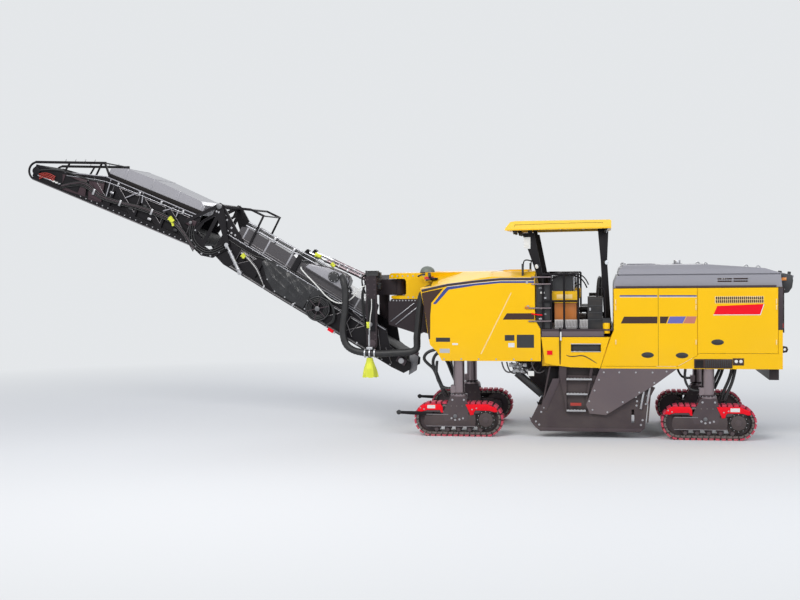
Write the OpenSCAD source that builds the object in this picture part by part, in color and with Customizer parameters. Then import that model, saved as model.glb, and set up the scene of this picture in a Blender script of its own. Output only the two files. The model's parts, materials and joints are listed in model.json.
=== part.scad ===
// Cold planer milling machine: a front-loading track machine with a folding discharge conveyor.
// X runs from the conveyor's head to the engine, Y across the machine, Z up from the ground.
// Places along X are measured from the middle between the front and rear columns.

/* [Running gear] */
// Distance between the front and the rear columns
wheelbase = 4595; // [4400:5:4800]
// Distance from the body's outer face in to a track's middle plane
track_in = 145; // [130:5:190]
// Distance from the body's outer face in to a lifting column's axis
column_in = 175; // [170:5:210]
// Overall length of a track
track_len = 1700; // [1500:10:1800]
// Overall height of a track over its shoes
track_h = 655; // [600:5:700]
// Width of a track shoe
shoe_w = 260; // [220:5:270]
// Height of a track shoe
shoe_h = 42; // [25:1:55]
// Number of shoes on a track
shoe_n = 36; // [24:2:44]
// Thickness of the track's chain under the shoes
chain_t = 52; // [30:1:70]
// Radius of a front column
front_column_r = 105; // [90:1:110]
// Radius of a rear column
rear_column_r = 113; // [90:1:114]
// Gap between a column and its sleeve
column_gap = 0.3; // [0.2:0.1:1]
// Height of the flange under a column
flange_t = 32; // [20:1:50]
// Height of the crawler yoke's top
yoke_top_z = 760; // [740:5:800]
// Thickness of the yoke's side plates
yoke_t = 15; // [10:1:20]

/* [Body] */
// Thickness of the body's panels and doors
panel_t = 26; // [12:1:28]
// Height of the front cover's lower edge
front_bottom_z = 1440; // [1380:5:1480]
// Height of the front cover's roof
front_roof_z = 3110; // [3050:5:3150]
// Place of the front cover's rear edge
front_rear_x = -840; // [-860:5:-835]
// Height of the rear body's lower edge
rear_bottom_z = 1310; // [1290:5:1330]
// Height of the doors' upper edge
door_top_z = 2785; // [2740:5:2800]
// Place of the rear body's front edge
rear_front_x = 605; // [600:5:640]
// Place of the rear body's back face
rear_back_x = 3590; // [3550:5:3650]
// Height of the hood's top
hood_top_z = 3210; // [3150:5:3260]
// Height of the frame beams' lower side
beam_low_z = 1600; // [1560:5:1640]
// Height of the frame beams' upper side
beam_top_z = 1900; // [1880:5:1920]
// Distance from the middle plane to a frame beam's middle
beam_y = 660; // [640:5:680]
// Width of a frame beam
beam_w = 140; // [100:5:150]

/* [Platform] */
// Height of the platform's floor
deck_z = 2040; // [2020:5:2080]
// Height of the rails' upper tube
rail_z = 3060; // [3000:10:3100]
// Radius of the rails' tubes
rail_r = 20; // [15:1:24]
// Height of the canopy's top
canopy_top_z = 4060; // [3950:10:4150]
// Thickness of the canopy
canopy_t = 160; // [100:5:200]

/* [Milling unit] */
// Place of the drum's axis
drum_x = 200; // [180:5:220]
// Height of the drum's axis
drum_z = 665; // [655:5:690]
// Radius of the drum's tube
drum_r = 385; // [340:5:400]
// Radius over the picks' tips
cut_r = 510; // [490:2:515]
// Milling width
cut_w = 2010; // [1900:10:2020]
// Number of picks on each half of the drum
pick_n = 28; // [16:1:32]
// Turns of each half's scroll
scroll_turns = 2; // [1:0.5:3]
// Gap between the drum's end and the housing's side
drum_gap = 75; // [60:5:110]
// Thickness of the housing's sides
housing_t = 30; // [20:1:40]
// Gap between the housing and a side plate
plate_gap = 35; // [30:1:50]
// Distance from a side plate's outer face to the body's outer face
skirt_gap = 70; // [60:2:90]
// Thickness of a side plate
side_plate_t = 35; // [20:1:40]
// Height of the side plates' lower edge
side_plate_z = 120; // [110:5:140]

/* [Conveyor] */
// Place of the slewing axis
slew_x = -3620; // [-3650:5:-3600]
// Place of the luffing axis
luff_x = -4060; // [-4080:5:-4040]
// Height of the luffing axis
luff_z = 1720; // [1700:5:1740]
// Slope of the lower section
lower_deg = 31; // [29:0.5:33]
// Length of the lower section from the luffing axis to the fold axis
fold_u = 4085; // [4000:5:4200]
// Height of the fold axis over the luffing axis, square to the lower section
fold_w = 765; // [740:5:800]
// Slope of the outer section
outer_deg = 23; // [21:0.5:25]
// Length of the outer section from the fold axis to the head roller
head_u = 3960; // [3800:10:4100]
// Width over the conveyor's side frames
conveyor_w = 1200; // [1160:10:1220]
// Thickness of the conveyor's side frames
side_t = 40; // [20:1:50]
// Thickness of the sheets behind the conveyor's trusses
sheet_t = 12; // [6:1:16]
// Width of the belt
belt_w = 850; // [800:10:900]
// Radius of the slewing pin
slew_pin_r = 60; // [40:1:70]
// Radius of the luffing and fold pins
pin_r = 45; // [30:1:50]
// Gap between a pin and its hole
pin_gap = 0.5; // [0.3:0.1:1]

/* [Hoses] */
// Radius of the suction duct
duct_r = 70; // [60:1:74]
// Radius of the hoses to the crawlers
hose_r = 22; // [15:1:24]

/* [Hidden] */
$fn = 48;

seat_gap = 0.3;
arm_y0 = conveyor_w / 2 + 20;
arm_y1 = arm_y0 + 80;
belt_t = 15;
column_x = wheelbase / 2;
housing_in = cut_w / 2 + drum_gap;
housing_y = housing_in + housing_t;
side_plate_y = housing_y + plate_gap + side_plate_t;
half_w = side_plate_y + skirt_gap;
track_y = half_w - track_in;
column_y = half_w - column_in;
rear_tip_x = 3860;
head_r = 190;
fold_x = luff_x - fold_u * cos(lower_deg) + fold_w * sin(lower_deg);
fold_z = luff_z + fold_u * sin(lower_deg) + fold_w * cos(lower_deg);
belt_drop = 800;
head_x = fold_x - head_u * cos(outer_deg) - belt_drop * sin(outer_deg);
guard_r = 22;
guard_reach = 185;
front_tip_x = head_x - guard_reach - guard_r;
mid_x = (front_tip_x + rear_tip_x) / 2;
tip_h = (cut_r - drum_r) / cos(38) - 2;
loop_r = track_h / 2;
chain_r = loop_r - shoe_h;
wheel_r = chain_r - chain_t;

// Places the whole machine with its origin in the middle of its length
module placed() {
  translate([-mid_x, 0, 0]) children();
}

module both_sides() {
  children();
  mirror([0, 1, 0]) children();
}

// A plate whose outline is given in X and Z, from y0 to y1
module plate(outline, y0, y1) {
  translate([0, y1, 0]) rotate([90, 0, 0]) linear_extrude(y1 - y0) polygon(outline);
}

// A box from one corner to the other
module block(low, high) {
  translate(low) cube(high - low);
}

// A round bar along Y
module bar_y(x, z, r, y0, y1) {
  translate([x, y0, z]) rotate([-90, 0, 0]) cylinder(r = r, h = y1 - y0);
}

// A round bar between two points
module rod(a, b, r) {
  d = b - a;
  len = norm(d);
  turn = atan2(d[1], d[0]);
  lean = acos(d[2] / len);
  translate(a) rotate([0, lean, turn]) cylinder(r = r, h = len);
}

// The lower section's own axes: X runs down the slope, Z square to it, from the luffing axis
module on_lower() {
  translate([luff_x, 0, luff_z]) rotate([0, lower_deg, 0]) children();
}

// The outer section's own axes, from the fold axis
module on_outer() {
  translate([fold_x, 0, fold_z]) rotate([0, outer_deg, 0]) children();
}

// A tube swept along points, its rings turned as little as possible
function unit(v) = v / norm(v);
// Outline of a straight bar of half width r that runs past both of its points by r
function strip(a, b, r) = let (u = unit(b - a) * r, n = [-u[1], u[0]]) [a - u + n, b + u + n, b + u - n, a - u - n];
function spline(p, i, t) = let(
    a = p[max(i - 1, 0)], b = p[i], c = p[i + 1], d = p[min(i + 2, len(p) - 1)]
  ) 0.5 * (2 * b + (c - a) * t + (2 * a - 5 * b + 4 * c - d) * t * t + (3 * b - a - 3 * c + d) * t * t * t);
function smooth(p, k) = concat([for (i = [0 : len(p) - 2]) for (j = [0 : k - 1]) spline(p, i, j / k)], [p[len(p) - 1]]);
function heading(q, i) = unit(q[min(i + 1, len(q) - 1)] - q[max(i - 1, 0)]);
function carried(q, i, n) = i >= len(q) ? [] : let(
    h = heading(q, i), m = unit(n - (n * h) * h)
  ) concat([m], carried(q, i + 1, m));

module hose(points, r, k = 3, sides = 10, start = [0, 1, 0.01]) {
  q = smooth(points, k);
  m = carried(q, 0, start);
  rings = len(q);
  verts = [for (i = [0 : rings - 1]) let(h = heading(q, i), b = cross(h, m[i]))
    for (s = [0 : sides - 1]) q[i] + r * (cos(360 * s / sides) * m[i] + sin(360 * s / sides) * b)];
  walls = [for (i = [0 : rings - 2]) for (s = [0 : sides - 1]) let(
      a = i * sides + s, b = i * sides + (s + 1) % sides, c = b + sides, d = a + sides
    ) each [[a, b, c], [a, c, d]]];
  caps = [[for (s = [sides - 1 : -1 : 0]) s], [for (s = [0 : sides - 1]) (rings - 1) * sides + s]];
  polyhedron(verts, [for (f = concat(walls, caps)) [f[2], f[1], f[0], each (len(f) > 3 ? [for (s = [len(f) - 1 : -1 : 3]) f[s]] : [])]]);
}

// Chassis

module column_sleeve(x, r) {
  translate([x, column_y, beam_low_z - 130]) cylinder(r = r + 17, h = 680);
}

module main_frame() placed() color("dimgray") difference() {
  union() {
    both_sides() {
      block([-2780, beam_y - beam_w / 2, beam_low_z], [3480, beam_y + beam_w / 2, beam_top_z]);
      block([-2780, beam_y - beam_w / 2, beam_top_z], [-2680, beam_y + beam_w / 2, 2950]);
      for (x = [-column_x, column_x]) block([x - 150, beam_y, beam_low_z], [x + 150, column_y - 60, beam_top_z]);
      column_sleeve(-column_x, front_column_r);
      column_sleeve(column_x, rear_column_r);
      block([-column_x - 60, beam_y, beam_top_z], [-column_x + 60, column_y - 60, beam_top_z + 240]);
      block([column_x - 60, beam_y, beam_top_z], [column_x + 60, column_y - 60, beam_top_z + 240]);
    }
    block([-2780, -beam_y, 2750], [-2680, beam_y, 2950]);
    // Bar that carries the front cover from wall to wall
    block([-2760, -half_w + panel_t + seat_gap, 2700], [-2700, half_w - panel_t - seat_gap, 2760]);
    block([3340, -half_w + 250, 1350], [3480, half_w - 250, beam_top_z]);
    block([1350, -beam_y, beam_low_z], [1470, beam_y, beam_top_z]);
    both_sides() plate([[-2780, beam_low_z + 10], [-2780, 1560], [-2750, 1530], [-2690, 1530], [-2640, beam_low_z + 10]], beam_y - 15, beam_y + 15);
    block([-640, -beam_y, beam_top_z - 120], [-540, beam_y, beam_top_z]);
  }
  both_sides() bar_y(-2720, 1568, 20, beam_y - 50, beam_y + 50);
  both_sides() {
    translate([-column_x, column_y, 1000]) cylinder(r = front_column_r + column_gap, h = 1600);
    translate([column_x, column_y, 1000]) cylinder(r = rear_column_r + column_gap, h = 1600);
  }
}

// Side outline of the front cover, drawn in by an inset
function cover_outline(i) = [[-3000 + i, 2780], [-2985 + i, front_roof_z - i], [front_rear_x - i, front_roof_z - i],
  [front_rear_x - i, 2210], [-740 - i, 2040], [-735 - i, front_bottom_z - i], [-2600, front_bottom_z - i],
  [-2690 + i, 1610 - i], [-2825 + i, 1740], [-2870 + i, 2000], [-2930 + i, 2450]];

module cover_block(i) {
  difference() {
    plate(cover_outline(i), -half_w + i, half_w - i);
    both_sides() {
      // The shoulder under the roof's edge, level behind and falling to the front
      translate([0, half_w - i, 3020 - i]) rotate([-17, 0, 0]) translate([-1720, -600, 0]) cube([1400, 900, 400]);
      translate([-1700, half_w - i, 3020 - i]) rotate([0, -9.3, 0]) rotate([-17, 0, 0]) translate([-1600, -600, 0]) cube([1600, 900, 500]);
    }
  }
}

module front_cover() placed() color("gold") difference() {
  cover_block(0);
  difference() {
    translate([0, 0, 0]) cover_block(panel_t);
    block([-3100, -half_w, 2960], [-2900, half_w, 3200]);
  }
  // Open below and behind, and at the front round the transfer chute
  block([-2500, -half_w + panel_t, 1300], [-740 - panel_t, half_w - panel_t, 1500]);
  block([-3100, -half_w + 70, 1500], [-2800, half_w - 70, 2940]);
  block([-900, -half_w + panel_t, 1300], [-700, half_w - panel_t, 2000]);
  block([-3100, -half_w + 70, 1300], [-2600, half_w - 70, 1760]);
  // Notch for the slew mount
  block([-3100, -410, 2900], [-2770, 410, 3200]);
}

module slew_mount() placed() color("gold") difference() {
  intersection() {
    linear_extrude(3200) polygon([[-3790, -270], [-3550, -400], [-2700, -400], [-2700, 400], [-3550, 400], [-3790, 270]]);
    plate([[-3780, 2985], [-3780, 3060], [-3740, 3095], [-2950, 3095], [-2780, 2960], [-2780, 2620], [-3000, 2585],
      [-3700, 2585], [-3740, 2600], [-3740, 2645], [-3450, 2645], [-3420, 2690], [-3420, 2940], [-3450, 2985]], -400, 400);
  }
  translate([slew_x, 0, 2500]) cylinder(r = slew_pin_r + pin_gap, h = 700);
  both_sides() plate([[-3380, 2500], [-3380, 2950], [-3060, 2950], [-3000, 2880], [-3000, 2500]], 60, 340);
}

// The first belt's channel from the drum to the transfer chute, open below its head
module primary_conveyor() placed() color([0.2, 0.2, 0.2]) difference() {
  plate([[-425, 640], [-740, 640], [-1200, 1330], [-3100, 1930], [-3160, 1880], [-3780, 2080], [-3780, 2520],
    [-3720, 2584.7], [-3160, 2584.7], [-1300, 1880], [-640, 1780], [-425, 1250]], -400, 400);
  plate([[-3160, 1700], [-3130, 2200], [-3170, 2420], [-3700, 2480], [-3740, 2050], [-3740, 1700]], -370, 370);
  // The channel that the belt runs in
  plate([[-300, 660], [-760, 680], [-1180, 1385], [-3100, 1975], [-3160, 1940], [-3160, 2500], [-1290, 1845], [-660, 1745], [-430, 1200]], -370, 370);
}

module side_tanks() placed() color("gold") both_sides() {
  plate([[-720, 1889], [-720, 1340], [-425, 1340], [-425, beam_low_z], [330, beam_low_z], [330, 1889]], beam_y + beam_w / 2 + 30, half_w - 130);
  difference() {
    plate([[-725, 1889], [-660, 1410], [-530, 1370], [-180, 1330], [310, 1320], [350, 1310], [520, 1860], [530, 1889]],
      half_w - panel_t, half_w);
    block([-180, half_w - 100, 1610], [370, half_w + 10, 1760]);
  }
  block([-724, half_w - 150, 1863], [529, half_w, 1889]);
}

// Operator's place

module platform() placed() color([0.28, 0.27, 0.28]) {
  block([-725, -half_w, deck_z - 30], [rear_front_x - 10, half_w, deck_z]);
  both_sides() {
    block([-725, half_w - 20, 1889.3], [430, half_w, deck_z - 30]);
    block([-700, beam_y - 70, beam_top_z + 0.3], [580, beam_y + 70, deck_z - 30]);
  }
}

module platform_rails() placed() color([0.15, 0.15, 0.15]) both_sides() {
  y = half_w - 30;
  for (x = [-690, -540, -300, -40]) rod([x, y, deck_z + seat_gap], [x, y, rail_z], rail_r);
  for (z = [2560, rail_z]) rod([-690, y, z], [-40, y, z], rail_r);
  rod([-690, y, rail_z], [-690, half_w - 550, rail_z], rail_r);
  rod([-690, half_w - 550, deck_z + seat_gap], [-690, half_w - 550, rail_z], rail_r);
}

module consoles() placed() color([0.85, 0.65, 0.1]) both_sides() {
  plate([[-550, 2740], [-30, 2740], [-30, 2560], [-60, 2530], [-80, 2530], [-80, deck_z + seat_gap],
    [-480, deck_z + seat_gap], [-480, 2530], [-550, 2560]], half_w - 470, half_w - 130);
  block([130, half_w - 350, deck_z + seat_gap], [405, half_w - 70, 2640]);
}

module seats() placed() color([0.2, 0.2, 0.2]) both_sides() {
  block([80, 330, deck_z + seat_gap], [240, 570, 2330]);
  plate([[-60, 2330], [-60, 2430], [250, 2440], [270, 2450], [330, 3010], [400, 3010], [400, 2400], [300, 2330]], 230, 670);
}

module canopy_roof() placed() color("gold") difference() {
  plate([[-1400, 3890], [-1385, 3930], [-1290, canopy_top_z - 15], [-1200, canopy_top_z], [540, canopy_top_z],
    [570, canopy_top_z - 15], [570, canopy_top_z - canopy_t], [-1360, 3885]], -half_w + 70, half_w - 70);
  block([-1300, -half_w + 130, 3700], [510, half_w - 130, canopy_top_z - 45]);
}

module canopy_posts() placed() color([0.15, 0.15, 0.15]) both_sides() {
  foot_z = deck_z + seat_gap;
  plate([[-1010, canopy_top_z - 45.3], [-930, canopy_top_z - 45.3], [-540, foot_z], [-620, foot_z]], half_w - 350, half_w - 290);
  plate([[355, canopy_top_z - 45.3], [435, canopy_top_z - 45.3], [435, 3600], [540, foot_z], [460, foot_z], [355, 3600]], half_w - 350, half_w - 290);
}

// Rear body

module rear_body() placed() color("gold") {
  both_sides() {
    plate([[362, rear_bottom_z], [rear_back_x, rear_bottom_z], [rear_back_x, 1590], [2130, 1590], [2085, 1545],
      [1750, 1350], [372, 1350]], half_w - panel_t, half_w);
    plate([[362, rear_bottom_z], [450, rear_bottom_z], [640, 2000], [640, door_top_z], [rear_front_x, door_top_z],
      [rear_front_x, 2020], [535, 1860], [440, 1600]], half_w - 60, half_w - panel_t - seat_gap);
    block([400, half_w - 60, rear_bottom_z], [440, half_w, 1350]);
    block([2080, half_w - 60, 1500], [2125, half_w - panel_t - seat_gap, door_top_z]);
    block([2080, half_w - 60, 1500], [2125, half_w - 1, 1538]);
    block([rear_front_x, half_w - 60, 2740], [rear_back_x, half_w - panel_t - seat_gap, door_top_z]);
    block([3515, half_w - 170, rear_bottom_z], [rear_back_x, half_w, door_top_z]);
  }
  block([rear_back_x - 30, -half_w, rear_bottom_z], [rear_back_x, half_w, 1950]);
  block([rear_front_x, -half_w + 60, 1905], [rear_front_x + 35, half_w - 60, door_top_z]);
}

// One side of the hood's section, in Y and Z, drawn in by an inset
function hood_section(i, side) = [for (p = [[45, 2785], [62, 3020 - i], [105, 3020 - i],
  [105, 3042 - i], [82, 3042 - i], [112, 3135 - i], [240, hood_top_z - i]])
  [side * (half_w - i - p[0]), p[1]]];

module hood_block(i) {
  intersection() {
    plate([[605 + i, 2785], [612 + i, 2870 - i], [672 + i, 3020 - i], [712 + i, 3020 - i], [712 + i, 3042 - i],
      [690 + i, 3042 - i], [722 + i, 3150 - i], [790 + i, hood_top_z - i],
      [2300, hood_top_z - i], [3300 - i, 3135 - i], [3560, 3050 - i], [3590 - i, 2785]], -half_w, half_w);
    rotate([90, 0, 90]) linear_extrude(3 * rear_tip_x, center = true)
      polygon(concat(hood_section(i, 1), [for (k = [6 : -1 : 0]) hood_section(i, -1)[k]]));
  }
}

module hood() placed() color([0.62, 0.62, 0.65]) union() {
  difference() {
    hood_block(0);
    translate([0, 0, -2]) hood_block(panel_t);
    // Air slots in both sides
    for (x = [2460, 2740]) for (z = [2890, 2935]) block([x, -half_w, z], [x + 255, half_w, z + 26]);
  }
  plate([[3400, 3020], [3450, 3095], [rear_tip_x, 2990], [rear_tip_x, 2950], [3560, 2960]], -700, 700);
}

module rear_grille() placed() color([0.2, 0.2, 0.2]) {
  difference() {
    block([rear_back_x + seat_gap, -half_w + 170, 1960], [rear_back_x + 50, half_w - 170, 2780]);
    block([rear_back_x - 1, -half_w + 250, 2020], [rear_back_x + 60, half_w - 250, 2720]);
  }
  for (z = [2060 : 66 : 2700]) block([rear_back_x + 10, -half_w + 240, z], [rear_back_x + 40, half_w - 240, z + 22]);
}

module engine() placed() color([0.3, 0.3, 0.3]) {
  block([1200, -480, beam_top_z + seat_gap], [2700, 480, 2680]);
  block([1250, -beam_y - 60, beam_top_z + seat_gap], [1450, beam_y + 60, beam_top_z + 60]);
  block([2400, -beam_y - 60, beam_top_z + seat_gap], [2600, beam_y + 60, beam_top_z + 60]);
  block([3100, -half_w + 350, beam_top_z + seat_gap], [3450, half_w - 350, 2700]);
}

module side_skirts() placed() color([0.4, 0.4, 0.41]) both_sides() {
  plate([[350, rear_bottom_z], [90, 630], [160, 470], [455, 446], [1340, 1010], [1740, rear_bottom_z]],
    half_w - 35, half_w);
}

module ladders() placed() color([0.35, 0.35, 0.36]) both_sides() {
  inner = side_plate_y + 15;
  outer = max(half_w - panel_t - seat_gap, inner + 10);
  plate([[-400, 1500], [-400, 1200], [-300, 700], [-290, 500], [-265, 500], [-265, 1500]], inner, outer);
  plate([[200, 1500], [75, 640], [70, 500], [100, 500], [105, 640], [225, 1310], [225, 1500]], inner, outer - 10);
  for (s = [[1107, 205], [830, 125], [520, 90]]) block([-270, inner, s[0] - 18], [s[1], half_w + 20, s[0] + 18]);
}

module rear_fittings() placed() color([0.15, 0.15, 0.15]) difference() {
  union() {
    block([rear_back_x + seat_gap, -250, 1380], [3640, 250, 1640]);
    both_sides() {
      plate([[3640, 1420], [3640, 1580], [3700, 1580], [3760, 1540], [3760, 1460], [3700, 1420]], 60, 90);
      plate([[rear_back_x + seat_gap, 1580], [rear_back_x + seat_gap, 1720], [3700, 1700], [3720, 1650], [3700, 1600]],
        half_w - 270, half_w - 240);
    }
    block([3390, -half_w + 250, 1090], [3560, half_w - 250, rear_bottom_z - seat_gap]);
  }
  bar_y(3700, 1500, 30, -200, 200);
  both_sides() bar_y(3660, 1650, 25, half_w - 350, half_w - 150);
}

module drum_housing() placed() color([0.3, 0.29, 0.3]) difference() {
  plate([[-420, 700], [-420, 1250], [-250, beam_low_z], [650, beam_low_z], [820, 1250], [820, 520], [770, 520], [770, 480],
    [-360, 480], [-360, 700]], -housing_y, housing_y);
  bar_y(drum_x, drum_z, cut_r + 40, -housing_in, housing_in);
  block([-500, -housing_in, 0], [770, housing_in, drum_z]);
  block([-500, -380, 600], [drum_x, 380, 1230]);
}

duct_y = -arm_y1 - 85;
clamp_gap = 5;
clamp_t = 14;
duct_joint = [-3150, duct_y, 1750];

module duct_stub() placed() color([0.1, 0.1, 0.1])
  hose([duct_joint, [-3150, duct_y, 1800], [-3150, duct_y, 1860], [-3120, duct_y, 2120], [-3080, duct_y, 2480], [-3040, duct_y, 2680],
    [-2930, duct_y, 2790], [-2781, duct_y, 2800]], duct_r, 3, 10, [1, 0, 0.01]);

module suction_duct() placed() color([0.1, 0.1, 0.1])
  hose([[-4630, -668, 3030], [-4629, -720, 3028], [-4600, duct_y, 2960], [-4560, duct_y, 2780], [-4570, duct_y, 2400], [-4640, duct_y, 2000],
    [-4590, duct_y, 1720], [-4430, duct_y, 1590], [-4200, duct_y, 1545], [-3900, duct_y, 1530], [-3600, duct_y, 1545],
    [-3300, duct_y, 1560], [-3180, duct_y, 1600], [-3150, duct_y, 1660], [-3150, duct_y, 1700], duct_joint - [0, 0, 0.5]], duct_r, 3, 10, [1, 0, 0.01]);

// Legs, each drawn at its own column with X and Y as on the machine

module column(r) color([0.55, 0.52, 0.52]) {
  translate([0, 0, yoke_top_z + seat_gap]) {
    cylinder(r = r, h = 2230 - yoke_top_z);
    cylinder(r = 165, h = flange_t);
    translate([-r - 45, -90, 60]) cube([90, 180, 140]);
  }
}

// Point of the track's outline at a distance along it and a height over the chain's inside
function loop_point(s, h) = let(
    straight = track_len - 2 * loop_r,
    arc = PI * chain_r,
    total = 2 * straight + 2 * arc,
    t = s % total,
    r = wheel_r + h
  ) t < straight ? [-straight / 2 + t, loop_r + r]
  : t < straight + arc ? let(a = 90 - 180 * (t - straight) / arc) [straight / 2 + r * cos(a), loop_r + r * sin(a)]
  : t < 2 * straight + arc ? [straight / 2 - (t - straight - arc), loop_r - r]
  : let(a = 270 - 180 * (t - 2 * straight - arc) / arc) [-straight / 2 + r * cos(a), loop_r + r * sin(a)];
loop_total = 2 * (track_len - 2 * loop_r) + 2 * PI * chain_r;

module track() color([0.7, 0.15, 0.2]) {
  pitch = loop_total / shoe_n;
  outside = [for (i = [0 : shoe_n - 1]) each [loop_point(i * pitch, chain_t),
    loop_point(i * pitch + 0.08 * pitch, chain_t + shoe_h), loop_point((i + 0.72) * pitch, chain_t + shoe_h),
    loop_point((i + 0.80) * pitch, chain_t)]];
  translate([0, shoe_w / 2, 0]) rotate([90, 0, 0]) linear_extrude(shoe_w) difference() {
    polygon(outside);
    belt_loop(-(track_len / 2 - loop_r), track_len / 2 - loop_r, loop_r, wheel_r);
  }
}

// side is 1 where the outside of the machine lies towards +Y
module crawler(front, side) color([0.4, 0.39, 0.4]) {
  end_x = (track_len - 2 * loop_r) / 2;
  out_y = shoe_w / 2 + 5;
  offset_y = side * (track_y - column_y);
  translate([0, offset_y, 0]) {
    // Roller frame with its rollers, idler and sprocket
    block([-end_x + 60, -95, 190], [end_x - 60, 95, 460]);
    for (x = [-0.8 : 0.4 : 0.8]) translate([x * end_x, 0, 0])
      bar_y(0, loop_r - wheel_r + 62 + seat_gap, 62, -90, 90);
    bar_y(-end_x, loop_r, wheel_r - seat_gap, -60, 60);
    bar_y(end_x, loop_r, wheel_r - seat_gap, -60, 60);
    bar_y(end_x, loop_r, 110, -out_y - yoke_t, out_y + yoke_t);
    block([-end_x, -40, loop_r - 40], [end_x, 40, loop_r + 40]);
    // Yoke over the track
    block([-150, -out_y - yoke_t, yoke_top_z - 75], [150, out_y + yoke_t, yoke_top_z]);
    for (y = [-out_y - yoke_t, out_y]) plate([[-150, yoke_top_z], [150, yoke_top_z], [200, 470], [160, 300],
      [-260, 300], [-300, 440]], y, y + yoke_t);
    bar_y(-60, 390, 60, -out_y, out_y);
    // Guards over both ends
    for (y = side > 0 ? [out_y] : [-out_y - yoke_t]) {
      plate([[-780, 470], [-740, 560], [-640, 610], [-330, 610], [-290, 440], [-380, 470]], y, y + yoke_t);
      plate([[200, 470], [140, 610], [560, 615], [720, 540], [740, 480], [600, 470], [300, 440], [230, 400]], y, y + yoke_t);
    }
    if (front) block([-1190, side > 0 ? out_y : -out_y - yoke_t, 440], [-560, side > 0 ? out_y + yoke_t : -out_y, 475]);
  }
}

leg_hose_front = [[-150.5, 0, 900], [-190, 0, 900], [-230, 0, 900], [-320, 0, 930], [-405, 0, 1050], [-435, 0, 1220], [-420, 0, 1420]];
leg_hose_rear = [[-158.5, 0, 900], [-195, 0, 900], [-230, 0, 900], [-320, 0, 930], [-390, 0, 1040], [-410, 0, 1160], [-400, 0, 1290]];

module leg_hoses(points, side) color([0.08, 0.08, 0.08])
  for (y = [-35, 35]) hose([for (p = points) p + [0, y, 0]], hose_r, 3, 8);

module at_leg(front, side) {
  translate([(front ? -1 : 1) * column_x, side * column_y, 0]) children();
}

// Milling unit

// A pick in its holder, pointing up and leaning into the cut
module pick() {
  translate([-88, -16, drum_r - 25]) cube([176, 32, 55]);
  translate([0, 0, drum_r]) rotate([0, 38, 0]) {
    translate([-42, -27, 0]) cube([84, 54, 62]);
    cylinder(r = 22, h = tip_h - 24);
    translate([0, 0, tip_h - 34]) cylinder(r1 = 22, r2 = 7, h = 34);
  }
}

module milling_drum() placed() color([0.35, 0.3, 0.28]) {
  bar_y(drum_x, drum_z, drum_r, -cut_w / 2, cut_w / 2);
  bar_y(drum_x, drum_z, 120, -housing_in + seat_gap, housing_in - seat_gap);
  both_sides() bar_y(drum_x, drum_z, drum_r + 25, cut_w / 2 - 14, cut_w / 2);
  // Two scrolls that carry the millings from the ends to the middle
  pick_pitch = (cut_w / 2 - 110) / (pick_n - 1);
  translate([drum_x, 0, drum_z]) both_sides() {
    for (i = [0 : pick_n - 1]) translate([0, cut_w / 2 - 36 - i * pick_pitch, 0])
      rotate([0, i * 360 * scroll_turns / pick_n, 0]) pick();
    // Paddles that throw them onto the first belt
    for (a = [40 : 90 : 310]) rotate([0, a, 0]) translate([-15, 2, drum_r - 20]) cube([30, 60, 95]);
  }
}

module side_plate() color([0.4, 0.38, 0.39]) {
  difference() {
    plate([[-800, 610], [-925, 360], [-880, 290], [-800, 200], [-720, side_plate_z], [1080, side_plate_z], [1160, 200], [1220, 700],
      [1350, 950], [900, 1150], [-390, 1180], [-670, 610]], side_plate_y - side_plate_t, side_plate_y);
    block([920, 0, 290], [970, 2 * half_w, 545]);
  }
  for (x = [-150, 500]) block([x, housing_y + seat_gap, 500], [x + 100, side_plate_y - side_plate_t, 1100]);
  rod([-770, side_plate_y - 20, 330], [-570, side_plate_y - 20, 1340], 17);
  for (x = [1150, 1270]) rod([x - 60, side_plate_y - 20, 300], [x, side_plate_y - 20, 960], 16);
}

module side_plate_right() placed() side_plate();
module side_plate_left() placed() mirror([0, 1, 0]) side_plate();

module scraper() placed() color([0.3, 0.3, 0.3]) {
  block([820 + seat_gap, -housing_in + 10, 170], [850, housing_in - 10, 900]);
  for (y = [-700, 0, 700]) block([850, y - 30, 200], [880, y + 30, 1100]);
}

// Discharge conveyor

module slew_bracket() placed() color([0.25, 0.24, 0.25]) difference() {
  union() {
    translate([slew_x, 0, 2645 + 12]) cylinder(r = 150, h = 340 - 24);
    translate([slew_x, 0, 2590]) cylinder(r = slew_pin_r, h = 500);
    plate([[-4170, 2657], [-4170, 3050], [-3960, 3050], [-3960, 2973], [slew_x, 2973], [slew_x, 2657]], -140, 140);
    block([-4170, -arm_y1, 2760], [-3960, arm_y1, 3050]);
    both_sides() {
      plate([[-4170, 3050], [-3960, 3050], [-3960, 1700], [-3975, 1650], [-4020, 1625], [-4100, 1625], [-4155, 1660], [-4170, 1720]],
        arm_y0, arm_y1);
      plate([[-4270, 2900], [-4270, 3040], [-4170, 3050], [-4170, 2850]], 240, 270);
      plate([[-4270, 2900], [-4270, 3040], [-4170, 3050], [-4170, 2850]], 350, 380);
    }
    // Strap and clamp that hold the suction duct
    block([-4110, -arm_y1 - 12, 1610], [-4070, -arm_y1, 1720]);
    block([-4110, duct_y - 20, 1610], [-4070, -arm_y1, 1625]);
    rod([-4110, duct_y, 1540.5], [-4070, duct_y, 1538.5], duct_r + clamp_t);
  }
  rod([-4210, duct_y, 1545.5], [-3970, duct_y, 1533.5], duct_r + clamp_gap);
  both_sides() bar_y(luff_x, luff_z, pin_r + pin_gap, arm_y0 - 20, arm_y1 + 20);
  both_sides() bar_y(-4220, 2970, 30.3, 200, 400);
}

module hang_bag() placed() color([0.75, 0.85, 0.2])
  translate([-4090, duct_y, 1070]) cylinder(r1 = 175, r2 = 60, h = 1538.2 - duct_r - clamp_t - 1070);

lower_end = -3760;

frame_y1 = conveyor_w / 2;
frame_y0 = frame_y1 - side_t;

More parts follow.
